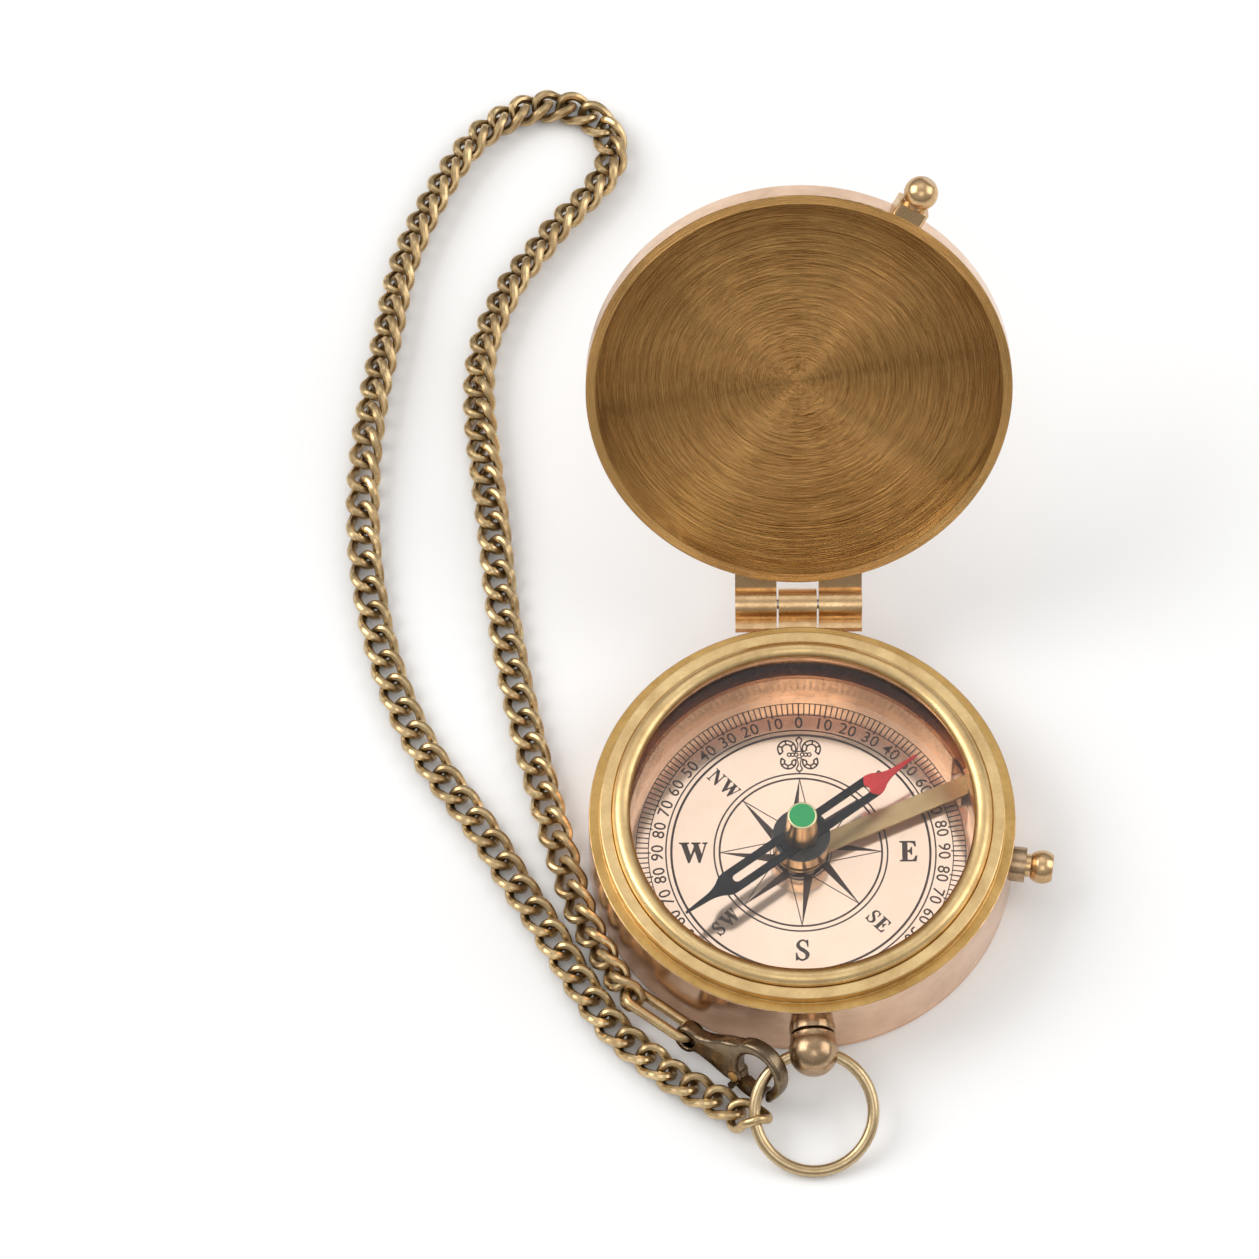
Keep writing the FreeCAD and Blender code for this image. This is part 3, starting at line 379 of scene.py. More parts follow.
@dataclass(frozen=True)
class NeedleSteel:
    """Dark blued steel whose north tip is lacquered red with a curved edge."""
    azimuth: float
    red_from: float
    name: str = "needle_blued_red"
    edge: float = 0.04
    edge_bow: float = -340.0
    steel: tuple[Point3, Point3] = ((0.014, 0.014, 0.018), (0.04, 0.037, 0.035))
    red: tuple[Point3, Point3] = ((0.50, 0.016, 0.016), (0.34, 0.01, 0.01))
    stain_size: float = 700.0
    stain: float = 0.7
    metallic: float = 0.85
    rough: Point2 = (0.32, 0.5)
    pit_size: float = 4000.0
    depth: float = 0.05
    reach_m: float = 0.0001

    def build(self, groups: Groups) -> bpy.types.Material:
        """Builds the material.

        Args:
            groups: the shared shader groups.

        Returns:
            The material.
        """
        surface = Surface(self.name, groups)
        tree = surface.tree
        turned = add(tree, "Mapping", {"vector_type": "TEXTURE"}, Vector=surface.place,
                     Rotation=(0.0, 0.0, math.radians(self.azimuth)))
        along, across, _ = add(tree, "SeparateXYZ", Vector=turned.outputs[0]).outputs
        square = math_node(tree, "MULTIPLY", across, across)
        curved = math_node(tree, "MULTIPLY_ADD", square, self.edge_bow, along)
        red = add(tree, "MapRange", Value=curved, From_Min=(self.red_from - self.edge) * MM,
                  From_Max=(self.red_from + self.edge) * MM).outputs[0]
        stain = surface.stain(self.stain_size, self.stain)
        surface.feed("Base Color", mixed(tree, red, mixed(tree, stain, *self.steel), mixed(tree, stain, *self.red)))
        surface.feed_range("Metallic", red, self.metallic, 0.0)
        surface.feed_range("Roughness", stain, *self.rough)
        surface.mark(groups.pits, self.pit_size, self.depth, self.reach_m)
        return surface.material


TURNED, CAST = Brush.TURNED, Brush.CAST
# An eleventh value sets painted shade in crevices, as on the post, chain and clasp.
METALS = (
    Metal("case_side_brass", (0.86, 0.60, 0.42), (0.62, 0.39, 0.24), 0.16, 0.3, 160.0, 0.8, TURNED, 5000.0, 0.03),
    Metal("ledge_brass", (0.62, 0.39, 0.14), (0.44, 0.26, 0.08), 0.28, 0.4, 300.0, 0.9, TURNED, 6000.0, 0.14),
    Metal("bezel_brass", (0.84, 0.61, 0.30), (0.58, 0.38, 0.17), 0.26, 0.4, 260.0, 0.9, TURNED, 7000.0, 0.18),
    Metal("lid_brass", (0.52, 0.30, 0.105), (0.42, 0.235, 0.08), 0.15, 0.19, 70.0, 0.5, TURNED, 16000.0, 1.0,
          on_lid=True),
    Metal("ring_brass", (0.75, 0.48, 0.28), (0.50, 0.29, 0.15), 0.2, 0.35, 400.0, 0.8, TURNED, 8000.0, 0.05),
    Metal("rim_brass", (0.98, 0.90, 0.56), (0.90, 0.78, 0.42), 0.3, 0.4, 700.0, 0.5, CAST, 2500.0, 0.03),
    Metal("hub_brass", (0.70, 0.48, 0.25), (0.50, 0.31, 0.14), 0.2, 0.3, 700.0, 0.7, TURNED, 9000.0, 0.05),
    Metal("lever_brass", (0.56, 0.40, 0.21), (0.42, 0.28, 0.13), 0.3, 0.42, 500.0, 0.7, CAST, 3000.0, 0.05),
    Metal("post_bronze", (0.56, 0.39, 0.235), (0.30, 0.185, 0.10), 0.2, 0.36, 420.0, 1.0, CAST, 2200.0, 0.08, 0.8),
    Metal("bow_wire_brass", (0.62, 0.47, 0.27), (0.44, 0.31, 0.17), 0.24, 0.38, 500.0, 0.8, CAST, 2600.0, 0.06),
    Metal("knob_brass", (0.76, 0.52, 0.28), (0.50, 0.31, 0.15), 0.2, 0.34, 400.0, 0.9, CAST, 2400.0, 0.07),
    Metal("chain_brass", (0.78, 0.58, 0.31), (0.38, 0.25, 0.12), 0.24, 0.4, 300.0, 1.0, CAST, 2600.0, 0.08, 0.85),
    Metal("clasp_bronze", (0.27, 0.20, 0.125), (0.12, 0.085, 0.055), 0.2, 0.36, 380.0, 0.9, CAST, 2400.0, 0.08, 0.5),
    Metal("pin_steel", (0.62, 0.61, 0.60), (0.42, 0.41, 0.40), 0.22, 0.35, 500.0, 0.6, TURNED, 6000.0, 0.03),
    Metal("dial_mirror", (1.0, 0.78, 0.62), (0.93, 0.68, 0.51), 0.11, 0.16, 120.0, 0.7, TURNED, 1500.0, 0.01,
          metallic=0.78, reach_m=0.0001),
)
PAINTS = (
    Paint("print_ink", (0.040, 0.022, 0.016), (0.065, 0.035, 0.025), 0.45),
    Paint("needle_disc_black", (0.014, 0.013, 0.014), (0.03, 0.028, 0.026), 0.3, 0.2, 0.3),
    Paint("inlay_green", (0.003, 0.22, 0.055), (0.012, 0.30, 0.09), 0.5, 0.0, 0.0, 2500.0),
    Paint("gasket_rubber", (0.03, 0.03, 0.03), (0.05, 0.05, 0.05), 0.7),
    Paint("jewel_ruby", (0.40, 0.03, 0.06), (0.30, 0.02, 0.05), 0.15, 0.5),
)


class Finishes:
    """Every material of the compass, built once."""

    def __init__(self) -> None:
        """Builds the finishes."""
        groups = Groups()
        every = (*METALS, *PAINTS, Glass(), NeedleSteel(Needle.azimuth, Needle.red_from))
        self.by_name = {item.name: item.build(groups) for item in every}

    def __getitem__(self, name: str) -> bpy.types.Material:
        """Returns a finish by its name."""
        return self.by_name[name]


# Mesh helpers


def linked(name: str, data: bpy.types.ID) -> bpy.types.Object:
    """Makes an object of some data and links it to the scene."""
    piece = bpy.data.objects.new(name, data)
    bpy.context.scene.collection.objects.link(piece)
    return piece


def as_mesh(name: str, bm: bmesh.types.BMesh) -> bpy.types.Mesh:
    """Makes a mesh of a bmesh, which is freed."""
    mesh = bpy.data.meshes.new(name)
    bm.to_mesh(mesh)
    bm.free()
    return mesh


def absorb(bm: bmesh.types.BMesh, mesh: bpy.types.Mesh) -> None:
    """Adds a mesh to a bmesh and removes it."""
    bm.from_mesh(mesh)
    bpy.data.meshes.remove(mesh)


def curve_mesh(curve: bpy.types.Curve) -> bpy.types.Mesh:
    """Makes a mesh of a curve or a text, which is removed."""
    holder = linked(curve.name, curve)
    bpy.context.view_layer.update()
    mesh = bpy.data.meshes.new_from_object(holder)
    bpy.data.objects.remove(holder)
    bpy.data.curves.remove(curve)
    return mesh


def lathe(profile: Sequence[Point2], steps: int = 96, closed: bool = True) -> bmesh.types.BMesh:
    """Spins a profile of radius and height round Z.

    Args:
        profile: points of the outline, in order.
        steps: how many steps make the turn.
        closed: whether the last point joins the first.

    Returns:
        The mesh, in metres.
    """
    bm = bmesh.new()
    verts = [bm.verts.new((r * MM, 0.0, z * MM)) for r, z in profile]
    pairs = list(zip(verts, verts[1:]))
    if closed:
        pairs.append((verts[-1], verts[0]))
    edges = [bm.edges.new(pair) for pair in pairs if (pair[0].co - pair[1].co).length > 0]
    bmesh.ops.spin(bm, geom=verts + edges, cent=(0, 0, 0), axis=(0, 0, 1), dvec=(0, 0, 0),
                   angle=2 * math.pi, steps=steps, use_merge=True, use_duplicate=False)
    bmesh.ops.remove_doubles(bm, verts=bm.verts, dist=MERGE_M)
    bmesh.ops.dissolve_degenerate(bm, dist=SLIVER_M, edges=bm.edges)
    bmesh.ops.recalc_face_normals(bm, faces=bm.faces)
    return bm


def arc(centre: Point2, radius: float, start: float, end: float, steps: int) -> list[Point2]:
    """Points of an arc.

    Args:
        centre: the arc's centre.
        radius: the arc's radius.
        start: first angle.
        end: last angle.
        steps: number of intervals.

    Returns:
        The points, from start to end.
    """
    turns = [math.radians(start + (end - start) * step / steps) for step in range(steps + 1)]
    return [(centre[0] + radius * math.cos(t), centre[1] + radius * math.sin(t)) for t in turns]


def smooth_arc(centre: Point2, radius: float, start: float, end: float, steps: int) -> list[tuple]:
    """Points of an arc, marked as smooth points of an outline; it takes what arc takes."""
    return [(x, y, SMOOTH) for x, y in arc(centre, radius, start, end, steps)]


def circle_outline(radius: float, centre: Point2 = (0.0, 0.0), points: int = 12) -> list[tuple]:
    """Smooth outline of a circle."""
    return smooth_arc(centre, radius, 0, 360, points)[:-1]


def polar(radius: float, azimuth: float, level: float = 0.0) -> Vector:
    """A point at a radius, azimuth and level, given in metres."""
    turn = math.radians(azimuth)
    return Vector((radius * math.cos(turn), radius * math.sin(turn), level)) * MM


def turned_z(angle: float) -> Matrix:
    """Turn about Z."""
    return Matrix.Rotation(math.radians(angle), 4, "Z")


def moved(x: float = 0.0, y: float = 0.0, z: float = 0.0) -> Matrix:
    """Shift by millimetres."""
    return Matrix.Translation((x * MM, y * MM, z * MM))


def outward(azimuth: float, level: float) -> Matrix:
    """Turns a piece built along +Z so that it points outwards at an azimuth and a level."""
    return moved(z=level) @ (turned_z(azimuth) @ Matrix.Rotation(math.radians(90), 4, "Y"))


def lid_open() -> Matrix:
    """Swings a lid piece built closed to the open stop."""
    axis = Vector((0, Lid.hinge_y, Lid.hinge_z)) * MM
    swing = Matrix.Rotation(math.radians(-Lid.open_angle), 4, "X")
    return Matrix.Translation(axis) @ swing @ Matrix.Translation(-axis)


def heading_vector(heading: float, rise: float) -> Vector:
    """Unit vector at a heading and a rise."""
    h, r = math.radians(heading), math.radians(rise)
    return Vector((math.cos(h) * math.cos(r), math.sin(h) * math.cos(r), math.sin(r)))


def axes_matrix(*axes: Vector) -> Matrix:
    """Rotation whose columns are three axes."""
    return Matrix(axes).transposed().to_4x4()


def aligned(along: Vector) -> Matrix:
    """Rotation that puts X along a direction and keeps Z up."""
    x_axis = along.normalized()
    y_axis = Vector((0, 0, 1)).cross(x_axis).normalized()
    return axes_matrix(x_axis, y_axis, x_axis.cross(y_axis))


def dress(name: str, mesh: bpy.types.Mesh, material: bpy.types.Material, body: str, replaces: str = "",
          bevel: float = 0.0, sharp: float = 32.0, segments: int = 2) -> bpy.types.Object:
    """Makes an object of a finished mesh, smooths it and sets it on its body.

    Args:
        name: the piece's name.
        mesh: the mesh, placed.
        material: its finish.
        body: the body that it rides on, or an empty string.
        replaces: the CAD node that the piece stands for, or an empty string.
        bevel: width of the edge bevel, 0 for none.
        sharp: angle above which an edge shades sharp.
        segments: segments of the bevel.

    Returns:
        The object.
    """
    mesh.name = name
    piece = linked(name, mesh)
    mesh.materials.clear()
    mesh.materials.append(material)
    mesh.polygons.foreach_set("use_smooth", [True] * len(mesh.polygons))
    mesh.set_sharp_from_angle(angle=math.radians(sharp))
    if bevel > 0:
        edge = piece.modifiers.new("edge", "BEVEL")
        edge.width = bevel * MM
        edge.segments = segments
        edge.limit_method = "ANGLE"
        edge.angle_limit = math.radians(sharp)
        edge.harden_normals = True
    if body:
        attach(piece, body)
    if replaces:
        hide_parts(replaces)
    LOG.info("piece %s on %s, %d faces", name, body, len(mesh.polygons))
    return piece


def finish_mesh(name: str, bm: bmesh.types.BMesh, material: bpy.types.Material, body: str, replaces: str = "",
                place: Optional[Matrix] = None, **edges: float) -> bpy.types.Object:
    """Turns a bmesh into a dressed piece that rides on a body.

    Args:
        name: the piece's name.
        bm: the mesh, which is freed.
        material: its finish.
        body: the body that it rides on, or an empty string.
        replaces: the CAD node that the piece stands for, or an empty string.
        place: a transform applied to the mesh.
        edges: bevel, sharp and segments, as dress takes them.

    Returns:
        The object.
    """
    if place is not None:
        bmesh.ops.transform(bm, matrix=place, verts=bm.verts)
    return dress(name, as_mesh(name, bm), material, body, replaces, **edges)


def refinish(piece: bpy.types.Object, material: bpy.types.Material, chosen: Callable[[Vector], bool]) -> None:
    """Gives some faces of a piece a further finish.

    Args:
        piece: the piece.
        material: the finish, added as a new slot.
        chosen: says whether a face with its centre at a point gets the finish.
    """
    piece.data.materials.append(material)
    slot = len(piece.data.materials) - 1
    for face in piece.data.polygons:
        if chosen(face.center / MM):
            face.material_index = slot


def recolour(finishes: Finishes, **nodes: str) -> None:
    """Gives the frame's own solids their finishes.

    Args:
        finishes: the materials.
        nodes: the finish of each CAD node.
    """
    for node, finish in nodes.items():
        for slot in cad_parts[node].material_slots:
            slot.material = finishes[finish]


def outline_mesh(outlines: Sequence[Outline], thickness: float = 0.0, rounding: float = 0.0,
                 place: Optional[Matrix] = None, resolution: int = 12, grow: float = 0.0) -> bpy.types.Mesh:
    """Fills closed outlines as a flat shape or a plate with rounded edges.

    Args:
        outlines: each a list of (x, y) corners or (x, y, SMOOTH) points; an outline inside another is a hole.
        thickness: the plate's whole thickness, 0 for a flat shape.
        rounding: radius of the plate's edges.
        place: a transform applied to the mesh.
        resolution: steps between two points.
        grow: how far the outlines are pushed out.

    Returns:
        The mesh, in metres.
    """
    curve = bpy.data.curves.new("outline", "CURVE")
    curve.dimensions = "2D"
    curve.fill_mode = "BOTH"
    curve.resolution_u = resolution
    curve.extrude = max(thickness / 2 - rounding, 0.0) * MM
    curve.bevel_depth = rounding * MM
    curve.bevel_resolution = 3
    curve.offset = (grow - rounding) * MM
    for outline in outlines:
        spline = curve.splines.new("BEZIER")
        spline.bezier_points.add(len(outline) - 1)
        for knot, (x, y, *smooth) in zip(spline.bezier_points, outline):
            knot.co = (x * MM, y * MM, 0.0)
            knot.handle_left_type = knot.handle_right_type = "AUTO" if smooth else "VECTOR"
        spline.use_cyclic_u = True
    mesh = curve_mesh(curve)
    bm = bmesh.new()
    bm.from_mesh(mesh)
    bmesh.ops.remove_doubles(bm, verts=bm.verts, dist=MERGE_M)
    if thickness > 0:
        bmesh.ops.recalc_face_normals(bm, faces=bm.faces)
    if place is not None:
        bmesh.ops.transform(bm, matrix=place, verts=bm.verts)
    bm.to_mesh(mesh)
    bm.free()
    return mesh


def wire_mesh(points: Sequence[Vector], radius: float, closed: bool = True, sides: int = 5) -> bpy.types.Mesh:
    """Round wire along points.

    Args:
        points: centreline, in metres.
        radius: the wire's radius.
        closed: whether the wire is a loop.
        sides: bevel resolution.

    Returns:
        The mesh.
    """
    curve = bpy.data.curves.new("wire", "CURVE")
    curve.dimensions = "3D"
    curve.bevel_depth = radius * MM
    curve.bevel_resolution = sides
    curve.use_fill_caps = not closed
    spline = curve.splines.new("POLY")
    spline.points.add(len(points) - 1)
    for knot, spot in zip(spline.points, points):
        knot.co = (*spot, 1.0)
    spline.use_cyclic_u = closed
    return curve_mesh(curve)


def figures_mesh(figures: str, size: float, share: float = 0.73, spread: float = 1.08, grow: float = 0.012
                 ) -> bpy.types.Mesh:
    """Plain figures as a flat mesh, centred on the origin.

    Args:
        figures: what is printed.
        size: height of the figures.
        share: the figures' part of the font's size.
        spread: how far the figures stand apart, 1 for the font's own spacing.
        grow: how far their outlines are pushed out.

    Returns:
        The mesh.
    """
    curve = bpy.data.curves.new("figures", "FONT")
    curve.body = figures
    curve.size = size * MM / share
    curve.align_x = "CENTER"
    curve.align_y = "CENTER"
    curve.resolution_u = 3
    curve.space_character = spread
    curve.offset = grow * MM
    return curve_mesh(curve)


@dataclass
class Case:
    """Drum and bezel, and the plain parts that the frame carries."""
    radius: float = 25.0
    height: float = 10.7
    base: float = 0.6
    bore: float = 21.9
    bezel_bore: float = 22.3
    spigot: float = 23.7
    spigot_top: float = 12.0
    seat: float = 10.4
    near: float = 0.01
    ring_outer: float = 22.25
    ring_bottom: float = 11.0
    ring_side: float = 12.15
    ring_lip: float = 0.6
    ring_under: float = 12.3
    ring_width: float = 2.1
    ring_edge: float = 12.55
    crown: Point2 = (21.2, 12.05)
    crown_radius: float = 1.05
    steps: int = 256

    def build(self, finishes: Finishes) -> None:
        """Builds and dresses the case's pieces.

        Args:
            finishes: the materials.
        """
        self._drum(finishes)
        self._bezel(finishes)
        recolour(finishes, case_bottom="case_side_brass", crystal="flat_glass", crystal_gasket="gasket_rubber",
                 crystal_seat="ring_brass", dial_plate="dial_mirror", dial_ring="ring_brass",
                 pivot_boss="hub_brass", pivot_pin="pin_steel", lock_bush="post_bronze",
                 case_knuckle="knob_brass", hinge_pin="pin_steel")

    def _drum(self, finishes: Finishes) -> None:
        """Drum's wall, its ledge for the lid and the spigot inside the lid's rim."""
        r, h, spigot, top = self.radius, self.height, self.spigot, self.spigot_top
        wall = lathe([(self.bore, self.base), (r, self.base), (r, h), (spigot, h), (spigot, top),
                      (self.bezel_bore, top), (self.bezel_bore, self.seat), (self.bore, self.seat)], self.steps)
        piece = finish_mesh("case_drum", wall, finishes["case_side_brass"], "case", "case_wall", bevel=0.14,
                            segments=3)
        high, edge = h - self.near, spigot + self.near
        refinish(piece, finishes["ledge_brass"], lambda spot: spot.z > high and spot.xy.length > edge)
        refinish(piece, finishes["bezel_brass"], lambda spot: spot.z > high and spot.xy.length <= edge)

    def _bezel(self, finishes: Finishes) -> None:
        """Rounded ring over the glass."""
        outer, lip, inner = self.ring_outer, self.ring_outer - self.ring_lip, self.ring_outer - self.ring_width
        profile = [(lip, self.ring_bottom), (outer, self.ring_bottom), (outer, self.ring_side)]
        profile += arc(self.crown, self.crown_radius, 10, 170, 14)
        profile += [(inner, self.ring_edge), (inner, self.ring_under), (lip, self.ring_under)]
        finish_mesh("bezel", lathe(profile, self.steps), finishes["bezel_brass"], "case", "bezel_ring", bevel=0.05)


# Outlines of the serif capitals, on a unit height, and the widths that they take
GLYPH_WIDTHS = {"W": 1.28, "E": 0.78, "S": 0.66, "N": 0.92}
GLYPHS: dict[str, list[tuple]] = {
    "E": [(0, 0), (0.74, 0), (0.78, 0.27), (0.72, 0.27), (0.6, 0.08, SMOOTH), (0.42, 0.055), (0.34, 0.055),
          (0.34, 0.48), (0.4, 0.48), (0.49, 0.38, SMOOTH), (0.51, 0.33), (0.55, 0.33), (0.55, 0.69), (0.51, 0.69),
          (0.49, 0.62, SMOOTH), (0.4, 0.535), (0.34, 0.535), (0.34, 0.945), (0.44, 0.945), (0.6, 0.9, SMOOTH),
          (0.68, 0.75), (0.73, 0.75), (0.7, 1.0), (0, 1.0), (0, 0.96), (0.12, 0.93), (0.12, 0.07), (0, 0.04)],
    "N": [(0, 1), (0.3, 1), (0.74, 0.32), (0.74, 0.93), (0.62, 0.96), (0.62, 1), (0.92, 1), (0.92, 0.96),
          (0.8, 0.93), (0.8, 0), (0.72, 0), (0.19, 0.8), (0.19, 0.07), (0.31, 0.04), (0.31, 0), (0, 0), (0, 0.04),
          (0.13, 0.07), (0.13, 0.93), (0, 0.96)],
    "W": [(0, 1), (0.44, 1), (0.44, 0.96), (0.34, 0.93), (0.52, 0.35), (0.68, 0.8), (0.64, 0.93), (0.56, 0.96),
          (0.56, 1), (0.96, 1), (0.96, 0.96), (0.86, 0.93), (1.02, 0.38), (1.17, 0.93), (1.06, 0.96), (1.06, 1),
          (1.28, 1), (1.28, 0.96), (1.22, 0.93), (0.95, 0), (0.88, 0), (0.7, 0.62), (0.47, 0), (0.4, 0),
          (0.1, 0.93), (0, 0.96)],
    "S": [(0.03, 0), (0.07, 0), (0.12, 0.05), (0.34, -0.02, SMOOTH), (0.63, 0.27, SMOOTH), (0.44, 0.54, SMOOTH),
          (0.24, 0.68, SMOOTH), (0.2, 0.83, SMOOTH), (0.35, 0.955, SMOOTH), (0.5, 0.86, SMOOTH),
          (0.55, 0.68), (0.59, 0.68), (0.58, 1.0), (0.54, 1.0), (0.5, 0.955), (0.33, 1.02, SMOOTH),
          (0.06, 0.76, SMOOTH), (0.2, 0.5, SMOOTH), (0.4, 0.36, SMOOTH), (0.47, 0.19, SMOOTH),
          (0.33, 0.045, SMOOTH), (0.15, 0.15, SMOOTH), (0.07, 0.36), (0.03, 0.36)],
}


@dataclass(frozen=True)
class Star:
    """Eight-point star: every point has a dark band along one edge and the rest in outline."""
    points: int = 8
    tip: float = 9.75
    foot: float = 3.23
    root: float = 2.43
    half: float = 1.36
    line: float = 0.12
    dark: float = 0.2
    mitre: float = 1.03

    def draw(self, bm: bmesh.types.BMesh) -> None:
        """Adds the star to a flat mesh."""
        tip, foot, half, dark = self.tip, self.foot, self.half, self.dark
        slope = half / (tip - foot)
        cut = tip - self.line * self.mitre / (slope * (1 + dark))
        shapes = [[(self.root, 0.0), (foot, -half), (tip, 0.0), (foot, half)],
                  [(cut, dark * slope * (tip - cut)), (foot, self.line - half), (foot, dark * half)]]
        for step in range(self.points):
            absorb(bm, outline_mesh(shapes, place=turned_z(360 / self.points * step), resolution=1))


@dataclass(frozen=True)
class Lily:
    """Lily that marks north: two leaves in outline, four barred curls and a row of rings across."""
    radius: float = 12.75
    line: float = 0.2
    leaves: Sequence[Point2] = ((1, 2.45), (-1, 2.4))
    curls: Sequence[tuple] = (((1.45, 0.75), 1.18, 0.68, 200, -40), ((1.3, -0.95), 1.0, 0.55, 160, 390))
    steps: int = 14
    bars: int = 5
    rings: Sequence[float] = (0.35, 0.77, 1.19)
    ring: float = 0.3
    eye: float = 0.14

    def draw(self, bm: bmesh.types.BMesh) -> None:
        """Adds the lily to a flat mesh."""
        shapes = []
        for sign, top in self.leaves:
            edge = [(0.42, top * 0.8, SMOOTH), (0.2, top * 0.55, SMOOTH), (0.36, 0.34)]
            core = [(0.22, top * 0.8, SMOOTH), (0.06, top * 0.58, SMOOTH), (0.18, 0.5)]
            shapes.append([self._leaf(sign, top, edge), self._leaf(sign, top - 0.3, core)])
        for side in (-1, 1):
            for curl in self.curls:
                shapes += [[[(side * x, *rest) for x, *rest in outline]] for outline in self._curl(*curl)]
            for spot in ((side * x, 0.0) for x in self.rings):
                shapes.append([circle_outline(self.ring, spot, 8), circle_outline(self.eye, spot, 8)])
        for outlines in shapes:
            absorb(bm, outline_mesh(outlines, place=moved(y=self.radius), resolution=4))

    @staticmethod
    def _leaf(sign: int, tip: float, edge: Sequence[tuple]) -> list[tuple]:
        """Outline of a leaf, mirrored from one side.

        Args:
            sign: 1 for the upper leaf, -1 for the lower one.
            tip: how far its tip stands out.
            edge: points of its right side, from tip to foot.

        Returns:
            The outline.
        """
        right = [(x, sign * y, *smooth) for x, y, *smooth in edge]
        return [(0.0, sign * tip), *right, *((-x, *rest) for x, *rest in reversed(right))]

    def _curl(self, centre: Point2, outer: float, inner: float, start: float, end: float) -> list[list[tuple]]:
        """Outlines of a curl: two bands and the bars between them.

        Args:
            centre: the curl's centre.
            outer: radius of its outer band.
            inner: radius of its inner band.
            start: first angle.
            end: last angle.

        Returns:
            The outlines.
        """
        outlines = [smooth_arc(centre, radius, start, end, self.steps)
                    + smooth_arc(centre, radius - self.line, end, start, self.steps) for radius in (outer, inner)]
        for step in range(self.bars):
            turn = math.radians(start + (end - start) * step / (self.bars - 1))
            way, across = Vector((math.cos(turn), math.sin(turn))), Vector((-math.sin(turn), math.cos(turn)))
            corners = [way * reach + across * (shift * self.line / 2)
                       for reach, shift in ((inner, -1), (outer, -1), (outer, 1), (inner, 1))]
            outlines.append([(centre[0] + spot.x, centre[1] + spot.y) for spot in corners])
        return outlines


@dataclass
class Dial:
    """Everything that is printed on the dial."""
    top: float = 0.9
    lift: float = 0.012
    circles: Sequence[Point2] = ((19.5, 0.10), (18.02, 0.12), (15.95, 0.18), (15.3, 0.28), (10.25, 0.2),
                                 (9.6, 0.24), (3.6, 0.10), (3.2, 0.16))
    tick_count: int = 180
    tick_outer: float = 19.5
    long_tick: Point2 = (17.75, 0.17)
    short_tick: Point2 = (18.02, 0.15)
    figure: float = 1.5
    figures_at: float = 16.9
    words: Sequence[tuple[str, float, float]] = (
        ("W", 180, 0), ("E", 0, 0), ("S", -90, 0),
        ("NE", 45, 45), ("SE", -45, -45), ("SW", -135, 45), ("NW", 135, -45))
    words_at: float = 12.7
    letter: float = 2.6
    small_letter: float = 1.75
    letter_gap: float = 0.12
    letter_grow: float = 0.014

    def build(self, finishes: Finishes) -> None:
        """Prints the circles, scale, letters and the rose.

        Args:
            finishes: the materials.
        """
        prints: dict[str, Callable[[bmesh.types.BMesh], None]] = {
            "dial_circles": self._circles, "dial_ticks": self._ticks, "dial_numbers": self._numbers,
            "dial_letters": self._letters, "dial_star": Star().draw, "dial_lily": Lily().draw}
        for name, draw in prints.items():
            bm = bmesh.new()
            draw(bm)
            bmesh.ops.transform(bm, matrix=moved(z=self.top + self.lift), verts=bm.verts)
            for face in bm.faces:
                face.normal_update()
                if face.normal.z < 0:
                    face.normal_flip()
            finish_mesh(name, bm, finishes["print_ink"], "case")

    def _circles(self, bm: bmesh.types.BMesh) -> None:
        """Circles that part the dial's bands."""
        for radius, width in self.circles:
            ring = lathe([(radius - width / 2, 0), (radius + width / 2, 0)], 180, closed=False)
            absorb(bm, as_mesh("circle", ring))

    def _ticks(self, bm: bmesh.types.BMesh) -> None:
        """Ticks every two degrees, longer every ten."""
        for step in range(self.tick_count):
            inner, width = self.short_tick if step % 5 else self.long_tick
            tick = bmesh.ops.create_grid(bm, x_segments=1, y_segments=1, size=0.5)["verts"]
            scale = Matrix.Diagonal(((self.tick_outer - inner) * MM, width * MM, 1.0, 1.0))
            place = turned_z(360 / self.tick_count * step) @ moved((self.tick_outer + inner) / 2) @ scale
            bmesh.ops.transform(bm, matrix=place, verts=tick)

    def _numbers(self, bm: bmesh.types.BMesh) -> None:
        """Degrees by quadrants, their tops outwards."""
        for angle in range(0, 360, 10):
            mesh = figures_mesh(str(90 - abs(90 - angle % 180)), self.figure)
            mesh.transform(turned_z(-angle) @ moved(y=self.figures_at))
            absorb(bm, mesh)

    def _letters(self, bm: bmesh.types.BMesh) -> None:
        """Serif letters of the points."""
        for word, azimuth, lean in self.words:
            size = self.letter if len(word) == 1 else self.small_letter
            spot = Matrix.Translation(polar(self.words_at, azimuth)) @ turned_z(lean) @ Matrix.Scale(size, 4)
            left = -(sum(GLYPH_WIDTHS[letter] for letter in word) + self.letter_gap * (len(word) - 1)) / 2
            for letter in word:
                absorb(bm, outline_mesh([GLYPHS[letter]], place=spot @ moved(left, -0.5), grow=self.letter_grow))
                left += GLYPH_WIDTHS[letter] + self.letter_gap


